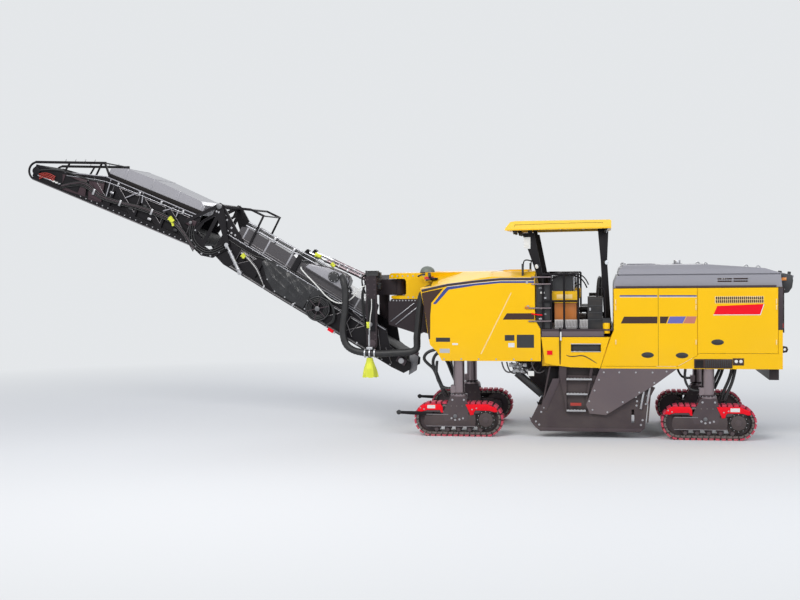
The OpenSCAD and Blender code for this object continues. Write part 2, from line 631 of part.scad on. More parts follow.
module lower_side(y0, y1)
  plate([[lower_end, -130], [lower_end, 380], [90, 380], [300, 130], [840, 60], [900, -60], [820, -190], [560, -215],
    [-3450, -215]], y0, y1);

module lower_frame() placed() color([0.18, 0.17, 0.18]) on_lower() difference() {
  union() {
    both_sides() {
      difference() {
        lower_side(frame_y0, frame_y1);
        for (i = [0 : 5]) translate([-3300 + i * 520, 0, 0]) plate([[40, -120], [40, 230], [400, 230]], 0, 1000);
      }
      plate([[lower_end, -130], [lower_end, 380], [-250, 380], [-250, -215], [-3450, -215]],
        frame_y0 - sheet_t, frame_y0);
      bar_y(0, 0, pin_r, frame_y0, arm_y1 - 1);
      // Lug up to the fold axis
      plate([[-fold_u - 70, fold_w], [-fold_u - 40, fold_w + 60], [-fold_u + 50, fold_w + 60], [-3300, 390],
        [-3300, 300], [lower_end, 300], [lower_end, 380]], frame_y0, frame_y1);
      // Ledge that carries the cover
      block([-3500, frame_y0 - 40, 360], [-400, frame_y1 - 1, 380]);
      // Ears for the lift cylinder's rod
      for (y = [258, 352]) plate([[-2190, 740], [-2150, 900], [-2090, 900], [-2050, 740]], y, y + 10);
      for (y = [248, 362]) bar_y(-2120, 850, 26, y, y + 10);
      block([-2190, frame_y0, 340], [-2085, frame_y1, 720]);
      // Frame that the folded outer section rests on
      plate([[-4060, 800], [-3515, 1045], [-3190, 1072], [-3150, 370], [-3190, 370], [-3224, 1028], [-3505, 1005],
        [-4040, 760]], frame_y1 - 36, frame_y1 - 12);
    }
    for (x = [-3600, -2400, -1200]) block([x, -frame_y0 + 1, -180], [x + 60, frame_y0 - 1, -120]);
    for (x = [0, 700]) block([x, -frame_y0 - 10, -180], [x + 60, frame_y0 + 10, -120]);
    block([-3600, -frame_y0 + 1, 320], [-3540, frame_y0 - 1, 379]);
    block([-2190, -frame_y1, 700], [-2050, frame_y1, 750]);
    for (q = [[-3505, 1025], [-3205, 1048]]) bar_y(q[0], q[1], 14, -frame_y1 + 20, frame_y1 - 20);
    // Reel on the near side
    difference() {
      bar_y(-1305, 22, 250, -frame_y1 - 45, -frame_y1 + 2);
      for (a = [0 : 60 : 300]) translate([-1305, 0, 22]) rotate([0, a, 0])
        plate([[50, -40], [50, 40], [185, 75], [185, -75]], -frame_y1 - 50, -frame_y1 - 20);
    }
  }
  both_sides() bar_y(-fold_u, fold_w, pin_r + pin_gap, 400, 700);
}

cover_y = conveyor_w / 2 - side_t - 5;

module lower_cover() placed() color([0.6, 0.6, 0.62]) on_lower() difference() {
  union() {
    plate([[-3500, 380.3], [-3500, 630], [-3400, 675], [-2300, 680], [-2150, 650], [-600, 610], [-450, 550], [-400, 380.3]],
      -cover_y, cover_y);
    // Fan housing that the suction duct runs to
    plate([[-1950, 600], [-1900, 720], [-1500, 850], [-1200, 895], [-1090, 890], [-1010, 830], [-980, 700], [-1000, 590]],
      -frame_y1 - 55, -frame_y1 + 220);
    // Gland of the white hose
    bar_y(-2010, 560, 26, -cover_y - 20, -cover_y + 5);
  }
  plate([[-3600, 300], [-3600, 610], [-3395, 652], [-2305, 657], [-2150, 627], [-640, 587], [-480, 535], [-430, 300]],
    -cover_y + 20, cover_y - 20);
}

module belt_loop(x0, x1, z, r) {
  translate([x0, z - r]) square([x1 - x0, 2 * r]);
  translate([x0, z]) circle(r);
  translate([x1, z]) circle(r);
}

module belt(x0, x1, z, r) {
  translate([0, belt_w / 2, 0]) rotate([90, 0, 0]) linear_extrude(belt_w) difference() {
    belt_loop(x0, x1, z, r);
    belt_loop(x0, x1, z, r - belt_t);
  }
  roller_y = frame_y0 - sheet_t - seat_gap;
  for (x = [x0, x1]) bar_y(x, z, r - belt_t - seat_gap, -roller_y, roller_y);
}

module lower_belt() placed() color([0.12, 0.12, 0.12]) on_lower() belt(-3700, 640, 20, 120);
module outer_belt() placed() color([0.12, 0.12, 0.12]) on_outer() belt(-head_u, -200, -belt_drop, 130);

module side_tarp() placed() color([0.08, 0.08, 0.08]) on_lower()
  plate([[-2780, 240], [-2700, 340], [-1900, 372], [-1250, 350], [-1300, 290], [-1480, 230], [-1575, 80], [-1565, -60],
    [-1530, -140], [-2250, -150], [-2500, -20]], -frame_y1 - 16, -frame_y1 - seat_gap);

module white_hose() placed() color([0.85, 0.85, 0.85])
  hose([[-5494, -575.5, 3235], [-5494, -600, 3235], [-5494, -640, 3235], [-5490, -676, 3222], [-5430, -692, 3140],
    [-5150, -692, 2860], [-4950, -690, 2620], [-4700, -686, 2490], [-4450, -686, 2600], [-4290, -680, 2830], [-4170.5, -675, 2860]], 13, 3, 8, [1, 0, 0.01]);

guard_y = frame_y1 - 24;
rail_end = [-2630, 0, -100];
guard_top = [-head_u - guard_reach * sin(outer_deg), guard_y, -belt_drop + guard_reach * cos(outer_deg)];
outer_start = -300;
cover_seat = -340;

// Side of the outer section, without its truss
module outer_side(y0, y1)
  plate([[outer_start, -960], [-140, -belt_drop - 90], [-140, -belt_drop + 90], [outer_start, -600],
    [outer_start, cover_seat], [-2480, cover_seat], [-3360, -600], [-head_u - 60, -belt_drop + 125],
    [-head_u - 60, -belt_drop - 120], [-head_u, -belt_drop - 200], [-2900, -980]], y0, y1);

module outer_frame() placed() color([0.18, 0.17, 0.18]) on_outer() union() {
  both_sides() {
    difference() {
      outer_side(frame_y0, frame_y1);
      for (i = [0 : 3]) translate([-440 - 600 * i, 0, 0]) {
        plate([[-20, -450], [-20, -800], [-500, -450]], 0, 1000);
        plate([[-90, -875], [-575, -875], [-575, -520]], 0, 1000);
      }
    }
    outer_side(frame_y0 - sheet_t, frame_y0);
    // Plate that carries the fold axis, outside the lower section's frame, and what joins it to the side
    difference() {
      plate([[-60, 20], [0, 70], [60, 30], [170, -110], [300, -350], [500, -650], [470, -740], [250, -1020],
        [0, -1070], [-230, -985], [-370, -840], [-345, -600], [-210, -370], [-70, -200]], frame_y1 + 5, frame_y1 + 30);
      plate([[-5, -200], [-70, -760], [-250, -700], [-180, -420]], 0, 1000);
      plate([[60, -260], [-10, -860], [150, -900], [400, -680]], 0, 1000);
    }
    plate([[outer_start, -920], [-355, -840], [-335, -610], [outer_start, -530]], frame_y1, frame_y1 + 6);
    plate([[-45, 45], [-610, -560], [-560, -600], [10, -5]], frame_y1 + 5, frame_y1 + 24);
    plate([[-430, -400], [-620, -570], [-560, -610], [-430, -480]], frame_y1, frame_y1 + 6);
    // Ledge that carries the cover
    block([-2480, frame_y0 - 40, cover_seat - 20], [outer_start, frame_y1 - 1, cover_seat]);
    // Half loop that guards the head, with its rail and posts
    translate([-head_u, guard_y, -belt_drop]) rotate([0, -outer_deg, 0]) rotate([90, 0, 0]) rotate([0, 0, 90])
      rotate_extrude(angle = 180) translate([guard_reach, 0]) circle(guard_r);
    for (q = [[guard_top, rail_end, guard_r + 3], [rail_end, [-2400, 0, cover_seat - 15], 18],
        [[-2720, 0, -440], [-2690, 0, -125], 15], [[-3400, 0, -640], [-3350, 0, -380], 15]])
      plate(strip([q[0][0], q[0][2]], [q[1][0], q[1][2]], q[2]), guard_y - q[2], guard_y + q[2]);
  }
  for (x = [-700, -1900, -3100]) block([x, -frame_y0 + 1, -959], [x + 60, frame_y0 - 1, -belt_drop - 136]);
  block([-2540, -frame_y0 + 1, -400], [-2495, frame_y0 - 1, cover_seat - 25]);
  bar_y(-2630, -100, 13, -guard_y, guard_y);
  bar_y(0, 0, pin_r, -frame_y1 - 30, frame_y1 + 30);
}

module outer_cover() placed() color([0.6, 0.6, 0.62]) on_outer() difference() {
  plate([[-310, cover_seat + seat_gap], [-310, -150], [-420, -60], [-1600, -15], [-2150, -30], [-2480, -160],
    [-2480, cover_seat + seat_gap]], -cover_y, cover_y);
  plate([[-200, -500], [-200, -175], [-430, -85], [-1600, -40], [-2140, -55], [-2455, -175], [-2600, -500]],
    -cover_y + 20, cover_y - 20);
}

// Lift cylinders, from the slew bracket to the lower section
lift_base = [-4220, 0, 2970];
lift_eye = [luff_x - 2120 * cos(lower_deg) + 850 * sin(lower_deg), 0, luff_z + 2120 * sin(lower_deg) + 850 * cos(lower_deg)];

module lift_barrels() placed() color([0.7, 0.7, 0.72]) both_sides() {
  d = unit(lift_eye - lift_base);
  difference() {
    union() {
      bar_y(lift_base[0], lift_base[2], 48, 271, 349);
      translate([0, 310, 0]) rod(lift_base, lift_base + 950 * d, 39);
    }
    translate([0, 310, 0]) rod(lift_base + 90 * d, lift_base + 1000 * d, 28.3);
  }
  bar_y(lift_base[0], lift_base[2], 30, 236, 384);
}

module lift_rods() placed() color([0.85, 0.85, 0.87]) both_sides() {
  d = unit(lift_eye - lift_base);
  translate([0, 310, 0]) rod(lift_base + 300 * d, lift_eye - 45 * d, 28);
  bar_y(lift_eye[0], lift_eye[2], 45, 280, 340);
  bar_y(lift_eye[0], lift_eye[2], 20, 270, 350);
}

fold_base = [luff_x - 3040 * cos(lower_deg) - 170 * sin(lower_deg), 0, luff_z + 3040 * sin(lower_deg) - 170 * cos(lower_deg)];
fold_eye = [fold_x + 150, 0, fold_z - 780];
fold_y = conveyor_w / 2 + 75;

module fold_barrels() placed() color([0.5, 0.5, 0.52]) both_sides() {
  d = unit(fold_eye - fold_base);
  y = fold_y;
  difference() {
    union() {
      bar_y(fold_base[0], fold_base[2], 45, conveyor_w / 2 + seat_gap, y + 30);
      translate([0, y, 0]) rod(fold_base, fold_base + 490 * d, 36);
    }
    translate([0, y, 0]) rod(fold_base + 80 * d, fold_base + 600 * d, 24.3);
  }
}

module fold_rods() placed() color([0.85, 0.85, 0.87]) both_sides() {
  d = unit(fold_eye - fold_base);
  y = fold_y;
  translate([0, y, 0]) rod(fold_base + 100 * d, fold_eye - 40 * d, 24);
  bar_y(fold_eye[0], fold_eye[2], 42, conveyor_w / 2 + 30 + seat_gap, y + 30);
}

// Engine doors, each drawn on the right-hand side

module door_front() color("gold")
  plate([[rear_front_x, door_top_z], [2098, door_top_z], [2098, 1560], [1745, 1356], [372, 1356], [545, 1860], [rear_front_x, 2020]],
    half_w - panel_t, half_w);

module door_rear() color("gold")
  plate([[2106, door_top_z], [3508, door_top_z], [3508, 1597], [2150, 1597], [2106, 1585]], half_w - panel_t, half_w);

main_frame();
front_cover();
slew_mount();
primary_conveyor();
side_tanks();
platform();
platform_rails();
consoles();
seats();
canopy_roof();
canopy_posts();
rear_body();
hood();
rear_grille();
engine();
side_skirts();
ladders();
drum_housing();
rear_fittings();
duct_stub();
placed() at_leg(true, -1) column(front_column_r);  // column_front_left
placed() at_leg(true, 1) column(front_column_r);  // column_front_right
placed() at_leg(false, -1) column(rear_column_r);  // column_rear_left
placed() at_leg(false, 1) column(rear_column_r);  // column_rear_right
placed() at_leg(true, -1) crawler(true, -1);  // crawler_front_left
placed() at_leg(true, 1) crawler(true, 1);  // crawler_front_right
placed() at_leg(false, -1) crawler(false, -1);  // crawler_rear_left
placed() at_leg(false, 1) crawler(false, 1);  // crawler_rear_right
placed() translate([-column_x, -track_y, 0]) track();  // track_front_left
placed() translate([-column_x, track_y, 0]) track();  // track_front_right
placed() translate([column_x, -track_y, 0]) track();  // track_rear_left
placed() translate([column_x, track_y, 0]) track();  // track_rear_right
placed() at_leg(true, -1) leg_hoses(leg_hose_front, -1);  // hoses_front_left
placed() at_leg(true, 1) leg_hoses(leg_hose_front, 1);  // hoses_front_right
placed() at_leg(false, -1) leg_hoses(leg_hose_rear, -1);  // hoses_rear_left
placed() at_leg(false, 1) leg_hoses(leg_hose_rear, 1);  // hoses_rear_right
milling_drum();
side_plate_left();
side_plate_right();
scraper();
slew_bracket();
suction_duct();
hang_bag();
lower_frame();
lower_cover();
lower_belt();
side_tarp();
white_hose();
outer_frame();
outer_cover();
outer_belt();
lift_barrels();
lift_rods();
fold_barrels();
fold_rods();
placed() mirror([0, 1, 0]) door_front();  // door_front_left
placed() door_front();  // door_front_right
placed() mirror([0, 1, 0]) door_rear();  // door_rear_left
placed() door_rear();  // door_rear_right
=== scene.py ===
# %% [markdown]
# A cold planer milling machine, dressed for its picture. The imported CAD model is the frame:
# every solid is already at its real size and place, in metres. This script gives the solids
# their paint, rubber and steel, and adds the small things that a drawing office leaves out:
# stripes, latches, lamps, bolts, hoses and cloth.
# X runs from the conveyor's head to the engine, Y across, Z up. M() turns a drawing's
# millimetres, measured from the middle between the lifting columns, into this frame.

# %% Load the frame
import bpy, math, json
from mathutils import Matrix, Vector

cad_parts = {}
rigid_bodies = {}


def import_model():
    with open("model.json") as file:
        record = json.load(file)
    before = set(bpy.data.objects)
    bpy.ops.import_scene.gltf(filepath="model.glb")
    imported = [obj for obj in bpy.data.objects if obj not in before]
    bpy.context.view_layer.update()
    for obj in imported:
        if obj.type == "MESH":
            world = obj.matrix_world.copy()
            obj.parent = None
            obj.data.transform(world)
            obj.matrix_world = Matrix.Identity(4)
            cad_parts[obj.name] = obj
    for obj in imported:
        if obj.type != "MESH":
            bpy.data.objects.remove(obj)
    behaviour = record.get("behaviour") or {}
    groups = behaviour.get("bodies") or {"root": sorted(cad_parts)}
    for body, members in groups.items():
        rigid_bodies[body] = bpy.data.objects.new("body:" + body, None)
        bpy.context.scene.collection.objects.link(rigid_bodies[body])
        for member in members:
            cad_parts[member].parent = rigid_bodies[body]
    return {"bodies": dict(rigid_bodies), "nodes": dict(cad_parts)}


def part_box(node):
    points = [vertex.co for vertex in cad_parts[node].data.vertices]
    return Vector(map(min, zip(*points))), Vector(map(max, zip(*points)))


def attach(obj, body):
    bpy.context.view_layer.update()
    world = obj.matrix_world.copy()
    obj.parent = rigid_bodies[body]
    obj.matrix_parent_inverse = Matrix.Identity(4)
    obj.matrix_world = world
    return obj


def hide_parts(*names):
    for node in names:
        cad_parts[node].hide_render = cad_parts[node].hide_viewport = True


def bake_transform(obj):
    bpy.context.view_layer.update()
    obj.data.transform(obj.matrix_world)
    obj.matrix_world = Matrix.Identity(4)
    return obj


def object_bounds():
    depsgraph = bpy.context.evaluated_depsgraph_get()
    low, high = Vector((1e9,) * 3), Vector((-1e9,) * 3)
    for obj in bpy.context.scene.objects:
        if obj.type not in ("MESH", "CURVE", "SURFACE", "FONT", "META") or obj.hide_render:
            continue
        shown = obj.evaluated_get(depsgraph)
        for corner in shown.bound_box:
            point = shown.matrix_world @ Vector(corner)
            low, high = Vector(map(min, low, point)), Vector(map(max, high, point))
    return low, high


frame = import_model()
cad_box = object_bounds()
NODE = frame["nodes"]
SHIFT = 3736.154
print("nodes", len(NODE), "box", [tuple(round(v, 2) for v in p) for p in cad_box])


def M(x, y, z):
    """Drawing millimetres to metres in the frame."""
    return Vector(((x + SHIFT) / 1000, y / 1000, z / 1000))


# %% [markdown]
# The camera comes first, because every other choice is judged through it. Its place and lens
# were worked out from the tracks, the ladder and the panels' edges, so the picture's
# perspective is the real one. The light is a large soft key, a fill and a pale world: plain
# enough that a colour renders as it is written.

# %% Camera, lights, floor
def aim(yaw, pitch, roll):
    fwd = Vector((math.sin(yaw) * math.cos(pitch), math.cos(yaw) * math.cos(pitch), math.sin(pitch)))
    right = Vector((math.cos(yaw), -math.sin(yaw), 0))
    up = right.cross(fwd)
    r2 = right * math.cos(roll) + up * math.sin(roll)
    u2 = up * math.cos(roll) - right * math.sin(roll)
    return Matrix((r2, u2, -fwd)).transposed()


camera = bpy.data.objects.new("camera", bpy.data.cameras.new("camera"))
bpy.context.scene.collection.objects.link(camera)
FOCAL_PX, PICTURE_PX, SENSOR_MM = 1129.945, 800, 36
CAMERA_AT, CAMERA_TURN = (420.6, -22411.6, 3401.8), (-0.1783, -0.0374, -0.0121)
camera.data.lens = FOCAL_PX / PICTURE_PX * SENSOR_MM
camera.data.clip_end = 200
camera.matrix_world = Matrix.Translation(M(*CAMERA_AT)) @ aim(*CAMERA_TURN).to_4x4()
bpy.context.scene.camera = camera
bpy.context.scene.view_settings.view_transform = "Standard"


def soft_light(name, place, target, size, power, tint=(1, 1, 1)):
    lamp = bpy.data.lights.new(name, "AREA")
    lamp.shape, lamp.size, lamp.size_y, lamp.energy, lamp.color = "RECTANGLE", size, size * 0.7, power, tint
    o = bpy.data.objects.new(name, lamp)
    bpy.context.scene.collection.objects.link(o)
    o.location = place
    o.rotation_euler = (Vector(target) - Vector(place)).to_track_quat("-Z", "Y").to_euler()


soft_light("key", (-4, -13, 13), (0.5, 0, 1.5), 9, 1750, (1, 0.98, 0.95))
soft_light("fill", (12, -10, 7), (2, 0, 1.5), 8, 500, (0.93, 0.96, 1))
soft_light("back", (2, 14, 10), (0, 0, 2), 10, 700)

world = bpy.data.worlds.new("sky")
bpy.context.scene.world = world
world.use_nodes = True
sky = world.node_tree
for n in list(sky.nodes):
    sky.nodes.remove(n)
path = sky.nodes.new("ShaderNodeLightPath")
straight, seen = sky.nodes.new("ShaderNodeMath"), sky.nodes.new("ShaderNodeMath")
straight.operation = seen.operation = "MAXIMUM"
sky.links.new(path.outputs["Is Camera Ray"], straight.inputs[0])
sky.links.new(path.outputs["Is Transmission Ray"], straight.inputs[1])
sky.links.new(straight.outputs[0], seen.inputs[0])
sky.links.new(path.outputs["Is Glossy Ray"], seen.inputs[1])
lit, shown, pick_sky, sky_out = (sky.nodes.new(t) for t in ("ShaderNodeBackground", "ShaderNodeBackground",
                                                            "ShaderNodeMixShader", "ShaderNodeOutputWorld"))
lit.inputs["Color"].default_value, lit.inputs["Strength"].default_value = (0.84, 0.88, 0.95, 1), 0.6
shown.inputs["Color"].default_value, shown.inputs["Strength"].default_value = (0.78, 0.8, 0.82, 1), 1.0
sky.links.new(seen.outputs[0], pick_sky.inputs[0])
sky.links.new(lit.outputs[0], pick_sky.inputs[1])
sky.links.new(shown.outputs[0], pick_sky.inputs[2])
sky.links.new(pick_sky.outputs[0], sky_out.inputs[0])


# %% [markdown]
# Finishes are written as sums. S wraps one socket of a node tree, so that noise * 0.2 + 0.4 adds
# the Math nodes by itself. Colours never go through Math, which would turn them grey: blend()
# uses a Mix node. One paint recipe then serves every painted panel, with its own colour, dust
# and wear.

# %% Shader sums
class S:
    """One value socket. Arithmetic on it adds Math nodes."""
    def __init__(self, sheet, socket):
        self.sheet, self.socket = sheet, socket

    def _do(self, op, *others):
        return self.sheet.node("ShaderNodeMath", {"operation": op}, [self, *others])

    def __add__(self, o): return self._do("ADD", o)
    def __radd__(self, o): return self._do("ADD", o)
    def __sub__(self, o): return self._do("SUBTRACT", o)
    def __rsub__(self, o): return self.sheet.node("ShaderNodeMath", {"operation": "SUBTRACT"}, [o, self])
    def __mul__(self, o): return self._do("MULTIPLY", o)
    def __rmul__(self, o): return self._do("MULTIPLY", o)
    def __truediv__(self, o): return self._do("DIVIDE", o)
    def __pow__(self, o): return self._do("POWER", o)
    def __gt__(self, o): return self._do("GREATER_THAN", o)
    def __lt__(self, o): return self._do("LESS_THAN", o)
    def abs(self): return self._do("ABSOLUTE")
    def sin(self): return self._do("SINE")
    def floor(self): return self._do("FLOOR")
    def least(self, o): return self._do("MINIMUM", o)
    def most(self, o): return self._do("MAXIMUM", o)
    def ramp(self, low, high): return self.sheet.node(
        "ShaderNodeMapRange", {"clamp": True}, {"Value": self, "From Min": low, "From Max": high})


class Finish:
    """A material under construction, with a Principled shader at its end."""
    def __init__(self, name, colour, rough, metal=0.0, coat=0.0, sheen=0.0):
        self.material = bpy.data.materials.new(name)
        self.material.use_nodes = True
        self.tree = self.material.node_tree
        self.shader = self.tree.nodes["Principled BSDF"]
        self.put("Base Color", colour)
        self.put("Roughness", rough)
        self.put("Metallic", metal)
        self.put("Coat Weight", coat)
        self.put("Coat Roughness", 0.12)
        self.put("Sheen Weight", sheen)
        place = self.tree.nodes.new("ShaderNodeTexCoord").outputs["Object"]
        self.place = S(self, place)
        split = self.tree.nodes.new("ShaderNodeSeparateXYZ")
        self.tree.links.new(place, split.inputs[0])
        self.x, self.y, self.z = (S(self, split.outputs[i]) for i in range(3))
        facing = self.tree.nodes.new("ShaderNodeNewGeometry").outputs["Normal"]
        turned = self.tree.nodes.new("ShaderNodeSeparateXYZ")
        self.tree.links.new(facing, turned.inputs[0])
        self.nx, self.ny, self.nz = (S(self, turned.outputs[i]) for i in range(3))

    def put(self, socket, value):
        socket = self.shader.inputs[socket] if isinstance(socket, str) else socket
        if isinstance(value, S):
            self.tree.links.new(value.socket, socket)
        elif hasattr(value, "__len__"):
            socket.default_value = (*value[:3], 1) if len(socket.default_value) == 4 else value
        else:
            socket.default_value = value

    def node(self, kind, settings, values, out=0):
        n = self.tree.nodes.new(kind)
        for k, v in settings.items():
            if k == "stops":
                ramp = n.color_ramp.elements
                while len(ramp) < len(v):
                    ramp.new(0.5)
                for e, (at, shade) in zip(ramp, v):
                    e.position, e.color = at, (*shade, 1)
            else:
                setattr(n, k, v)
        pairs = values.items() if isinstance(values, dict) else enumerate(values)
        for k, v in pairs:
            self.put(n.inputs[k], v)
        return S(self, n.outputs[out])

    def noise(self, scale, detail=3, stretch=(1, 1, 1)):
        at = self.node("ShaderNodeMapping", {}, {"Vector": self.place, "Scale": stretch})
        return self.node("ShaderNodeTexNoise", {}, {"Vector": at, "Scale": scale, "Detail": detail})

    def cells(self, scale, stretch=(1, 1, 1)):
        at = self.node("ShaderNodeMapping", {}, {"Vector": self.place, "Scale": stretch})
        return self.node("ShaderNodeTexVoronoi", {}, {"Vector": at, "Scale": scale})

    def blend(self, amount, a, b):
        n = self.tree.nodes.new("ShaderNodeMix")
        n.data_type = "RGBA"
        for socket, value in zip((n.inputs[0], n.inputs[6], n.inputs[7]), (amount, a, b)):
            self.put(socket, value)
        return S(self, n.outputs[2])

    def bump(self, height, depth, strength=1.0):
        self.put("Normal", self.node("ShaderNodeBump", {}, {"Height": height, "Distance": depth,
            "Strength": strength}))


# %% [markdown]
# Machine paint is two thin coats over primer: an even colour, a fine orange peel under the
# gloss, and dust that settles on what faces up and near the ground. The dust is noise times
# height times how far the surface looks up, so it is never the same on two panels.

# %% Paint
def paint(name, colour, rough=0.34, coat=0.12, dust=0.3, metal=0.0, peel=0.0004):
    f = Finish(name, colour, rough, metal, coat)
    f.put("Specular IOR Level", 0.22)
    cloud = f.noise(1.3, 4)
    fine = f.noise(38, 3)
    low = 1.0 - f.z.ramp(0.2, 2.2)
    settled = (f.nz.ramp(0.3, 1.0) * 0.5 + low * 0.5) * cloud.ramp(0.35, 0.75) * dust
    tone = f.blend(f.noise(0.7, 2).ramp(0.3, 0.7) * 0.16, colour, tuple(c * 0.72 for c in colour))
    tone = f.blend(fine.ramp(0.62, 0.8) * 0.05, tone, tuple(min(1, c * 1.5 + 0.03) for c in colour))
    f.put("Base Color", f.blend(settled, tone, (0.33, 0.28, 0.23)))
    f.put("Roughness", rough + settled * 0.5 + fine * 0.06)
    f.bump(f.noise(240, 2), peel, 0.25)
    return f


YELLOW = (0.88, 0.50, 0.0)
yellow = paint("yellow_paint", YELLOW)
dark = paint("dark_paint", (0.030, 0.022, 0.026), 0.45, 0.05, 0.3)
frame_dark = paint("frame_dark", (0.006, 0.005, 0.007), 0.5, 0.0, 0.05)
leg_grey = paint("leg_grey", (0.062, 0.045, 0.053), 0.42, 0.08, 0.35)
skirt_grey = paint("skirt_grey", (0.125, 0.098, 0.106), 0.42, 0.08, 0.25)
plate_grey = paint("plate_grey", (0.05, 0.036, 0.041), 0.45, 0.05, 0.35)
hood_grey = paint("hood_grey", (0.285, 0.28, 0.31), 0.36, 0.2, 0.12)
cover_grey = paint("cover_grey", (0.33, 0.325, 0.35), 0.3, 0.3, 0.12, 0.2)
cover_black = paint("cover_black", (0.075, 0.07, 0.075), 0.3, 0.3, 0.2, 0.1)
red = paint("red_paint", (0.82, 0.0, 0.012), 0.42, 0.0, 0.02)
white = paint("white_paint", (0.72, 0.72, 0.7), 0.4, 0.2, 0.1)
blue = paint("stripe_blue", (0.035, 0.06, 0.24), 0.3, 0.4, 0.08)
violet = paint("stripe_violet", (0.13, 0.13, 0.42), 0.3, 0.4, 0.05)
silver = paint("stripe_silver", (0.52, 0.53, 0.55), 0.28, 0.4, 0.05, 0.5)
brown = paint("stripe_brown", (0.045, 0.022, 0.016), 0.35, 0.3, 0.1)
pinkish = paint("stripe_pink", (0.5, 0.18, 0.14), 0.35, 0.3, 0.1)
orange = paint("panel_orange", (0.55, 0.19, 0.03), 0.4, 0.2, 0.2)
print("paints ready")


# %% [markdown]
# Bare steel, rubber and cloth each get their own recipe. The drum and the tracks' chains are cast
# and scratched by the road: coarse cells for the casting, streaks for the scratches. Rubber is
# dull with a pale bloom. Woven cloth is two crossed sine waves, and its fold crests are painted
# paler: a painted highlight.

# %% Metal, rubber, plastic, cloth
def steel(name, colour, rough=0.38, streak=(1, 14, 1), metal=1.0, rust=0.0):
    f = Finish(name, colour, rough, metal)
    scratch = f.noise(30, 3, streak)
    cast = f.cells(60)
    spots = f.noise(5, 5).ramp(0.5, 0.72) * rust
    f.put("Base Color", f.blend(spots, f.blend(scratch * 0.35, colour, tuple(c * 0.55 for c in colour)),
        (0.16, 0.075, 0.035)))
    f.put("Roughness", rough + scratch * 0.16 + spots * 0.35)
    f.put("Metallic", metal - spots * 0.7 * metal)
    f.bump(cast * 0.5 + scratch * 0.3, 0.0008, 0.3)
    return f


def rubber(name, colour, rough=0.62, bloom=0.3, grain=90):
    f = Finish(name, colour, rough)
    worn = f.noise(7, 4).ramp(0.4, 0.75) * bloom
    f.put("Base Color", f.blend(worn, colour, tuple(min(1, c * 1.6 + 0.035) for c in colour)))
    f.put("Roughness", rough + worn * 0.25)
    f.bump(f.noise(grain, 3), 0.0009, 0.4)
    return f


def cloth(name, colour, thread=520.0, crease=0.6, rough=0.85, sheen=0.15):
    f = Finish(name, colour, rough, sheen=sheen)
    warp, weft = (f.x * thread).sin().abs(), (f.z * thread).sin().abs()
    fold = f.noise(6, 5)
    # The fold crests are painted paler than the cloth: a painted highlight, from the same noise that raises the
    # folds in the bump.
    f.put("Base Color", f.blend(fold.ramp(0.42, 0.72) * 0.5, colour,
        tuple(min(1, c * 1.7 + 0.02) for c in colour)))
    f.bump(warp * weft * 0.05 + fold * crease, 0.012, 0.5)
    return f


chrome = steel("chrome", (0.72, 0.72, 0.74), 0.12, (1, 1, 30))
leg_steel = steel("leg_steel", (0.3, 0.245, 0.26), 0.3, (1, 1, 30))
zinc = steel("zinc", (0.5, 0.5, 0.52), 0.33)
pipe_steel = steel("pipe_steel", (0.4, 0.4, 0.43), 0.3, (14, 14, 1))
cut_steel = steel("cut_steel", (0.23, 0.2, 0.19), 0.5, (1, 10, 1), 0.85, 0.5)
chain_steel = steel("chain_steel", (0.2, 0.18, 0.17), 0.42, (1, 8, 1), 0.8, 0.2)
pin_steel = steel("pin_steel", (0.2, 0.2, 0.21), 0.4)
black_rubber = rubber("black_rubber", (0.016, 0.016, 0.017))
hose_rubber = rubber("hose_rubber", (0.012, 0.012, 0.013), 0.42, 0.15, 200)
duct_rubber = rubber("duct_rubber", (0.014, 0.014, 0.015), 0.5, 0.25, 60)
belt_rubber = rubber("belt_rubber", (0.018, 0.018, 0.018), 0.7, 0.35, 40)
white_rubber = rubber("white_rubber", (0.7, 0.7, 0.67), 0.4, 0.1, 120)
red_rubber = rubber("red_rubber", (0.35, 0.03, 0.02), 0.45, 0.2, 120)
black_plastic = rubber("black_plastic", (0.02, 0.02, 0.022), 0.48, 0.12, 300)
grey_plastic = rubber("grey_plastic", (0.2, 0.2, 0.21), 0.5, 0.12, 300)
tarp_cloth = cloth("tarp_cloth", (0.010, 0.010, 0.012), 480, 0.9, 0.34)
vis_cloth = cloth("vis_cloth", (0.62, 0.66, 0.05), 700, 0.4)
seat_hide = cloth("seat_hide", (0.02, 0.02, 0.022), 300, 0.35, 0.55, 0.05)

lamp_glass = Finish("lamp_glass", (0.85, 0.88, 0.9), 0.12, 0.0, 0.8)
lamp_glass.bump((lamp_glass.x * 700).sin().abs() * 0.5 + (lamp_glass.z * 700).sin().abs() * 0.5, 0.0008, 0.5)
red_glass = Finish("red_glass", (0.6, 0.02, 0.02), 0.15, 0.0, 0.8)
red_glass.bump(red_glass.cells(160), 0.001, 0.5)
amber_glass = Finish("amber_glass", (0.8, 0.25, 0.01), 0.15, 0.0, 0.8)
amber_glass.bump(amber_glass.cells(160), 0.001, 0.5)
print("finishes", len(bpy.data.materials))


# %% [markdown]
# A CAD node already has the right shape, so it only gets a finish in its material slots.

# %% Dress the CAD nodes
def dress(finish, *names):
    for name in names:
        slots = NODE[name].data.materials
        if not slots:
            slots.append(finish.material)
        for i in range(len(slots)):
            slots[i] = finish.material


def four(stem):
    return [f"{stem}_{end}_{side}" for end in ("front", "rear") for side in ("left", "right")]
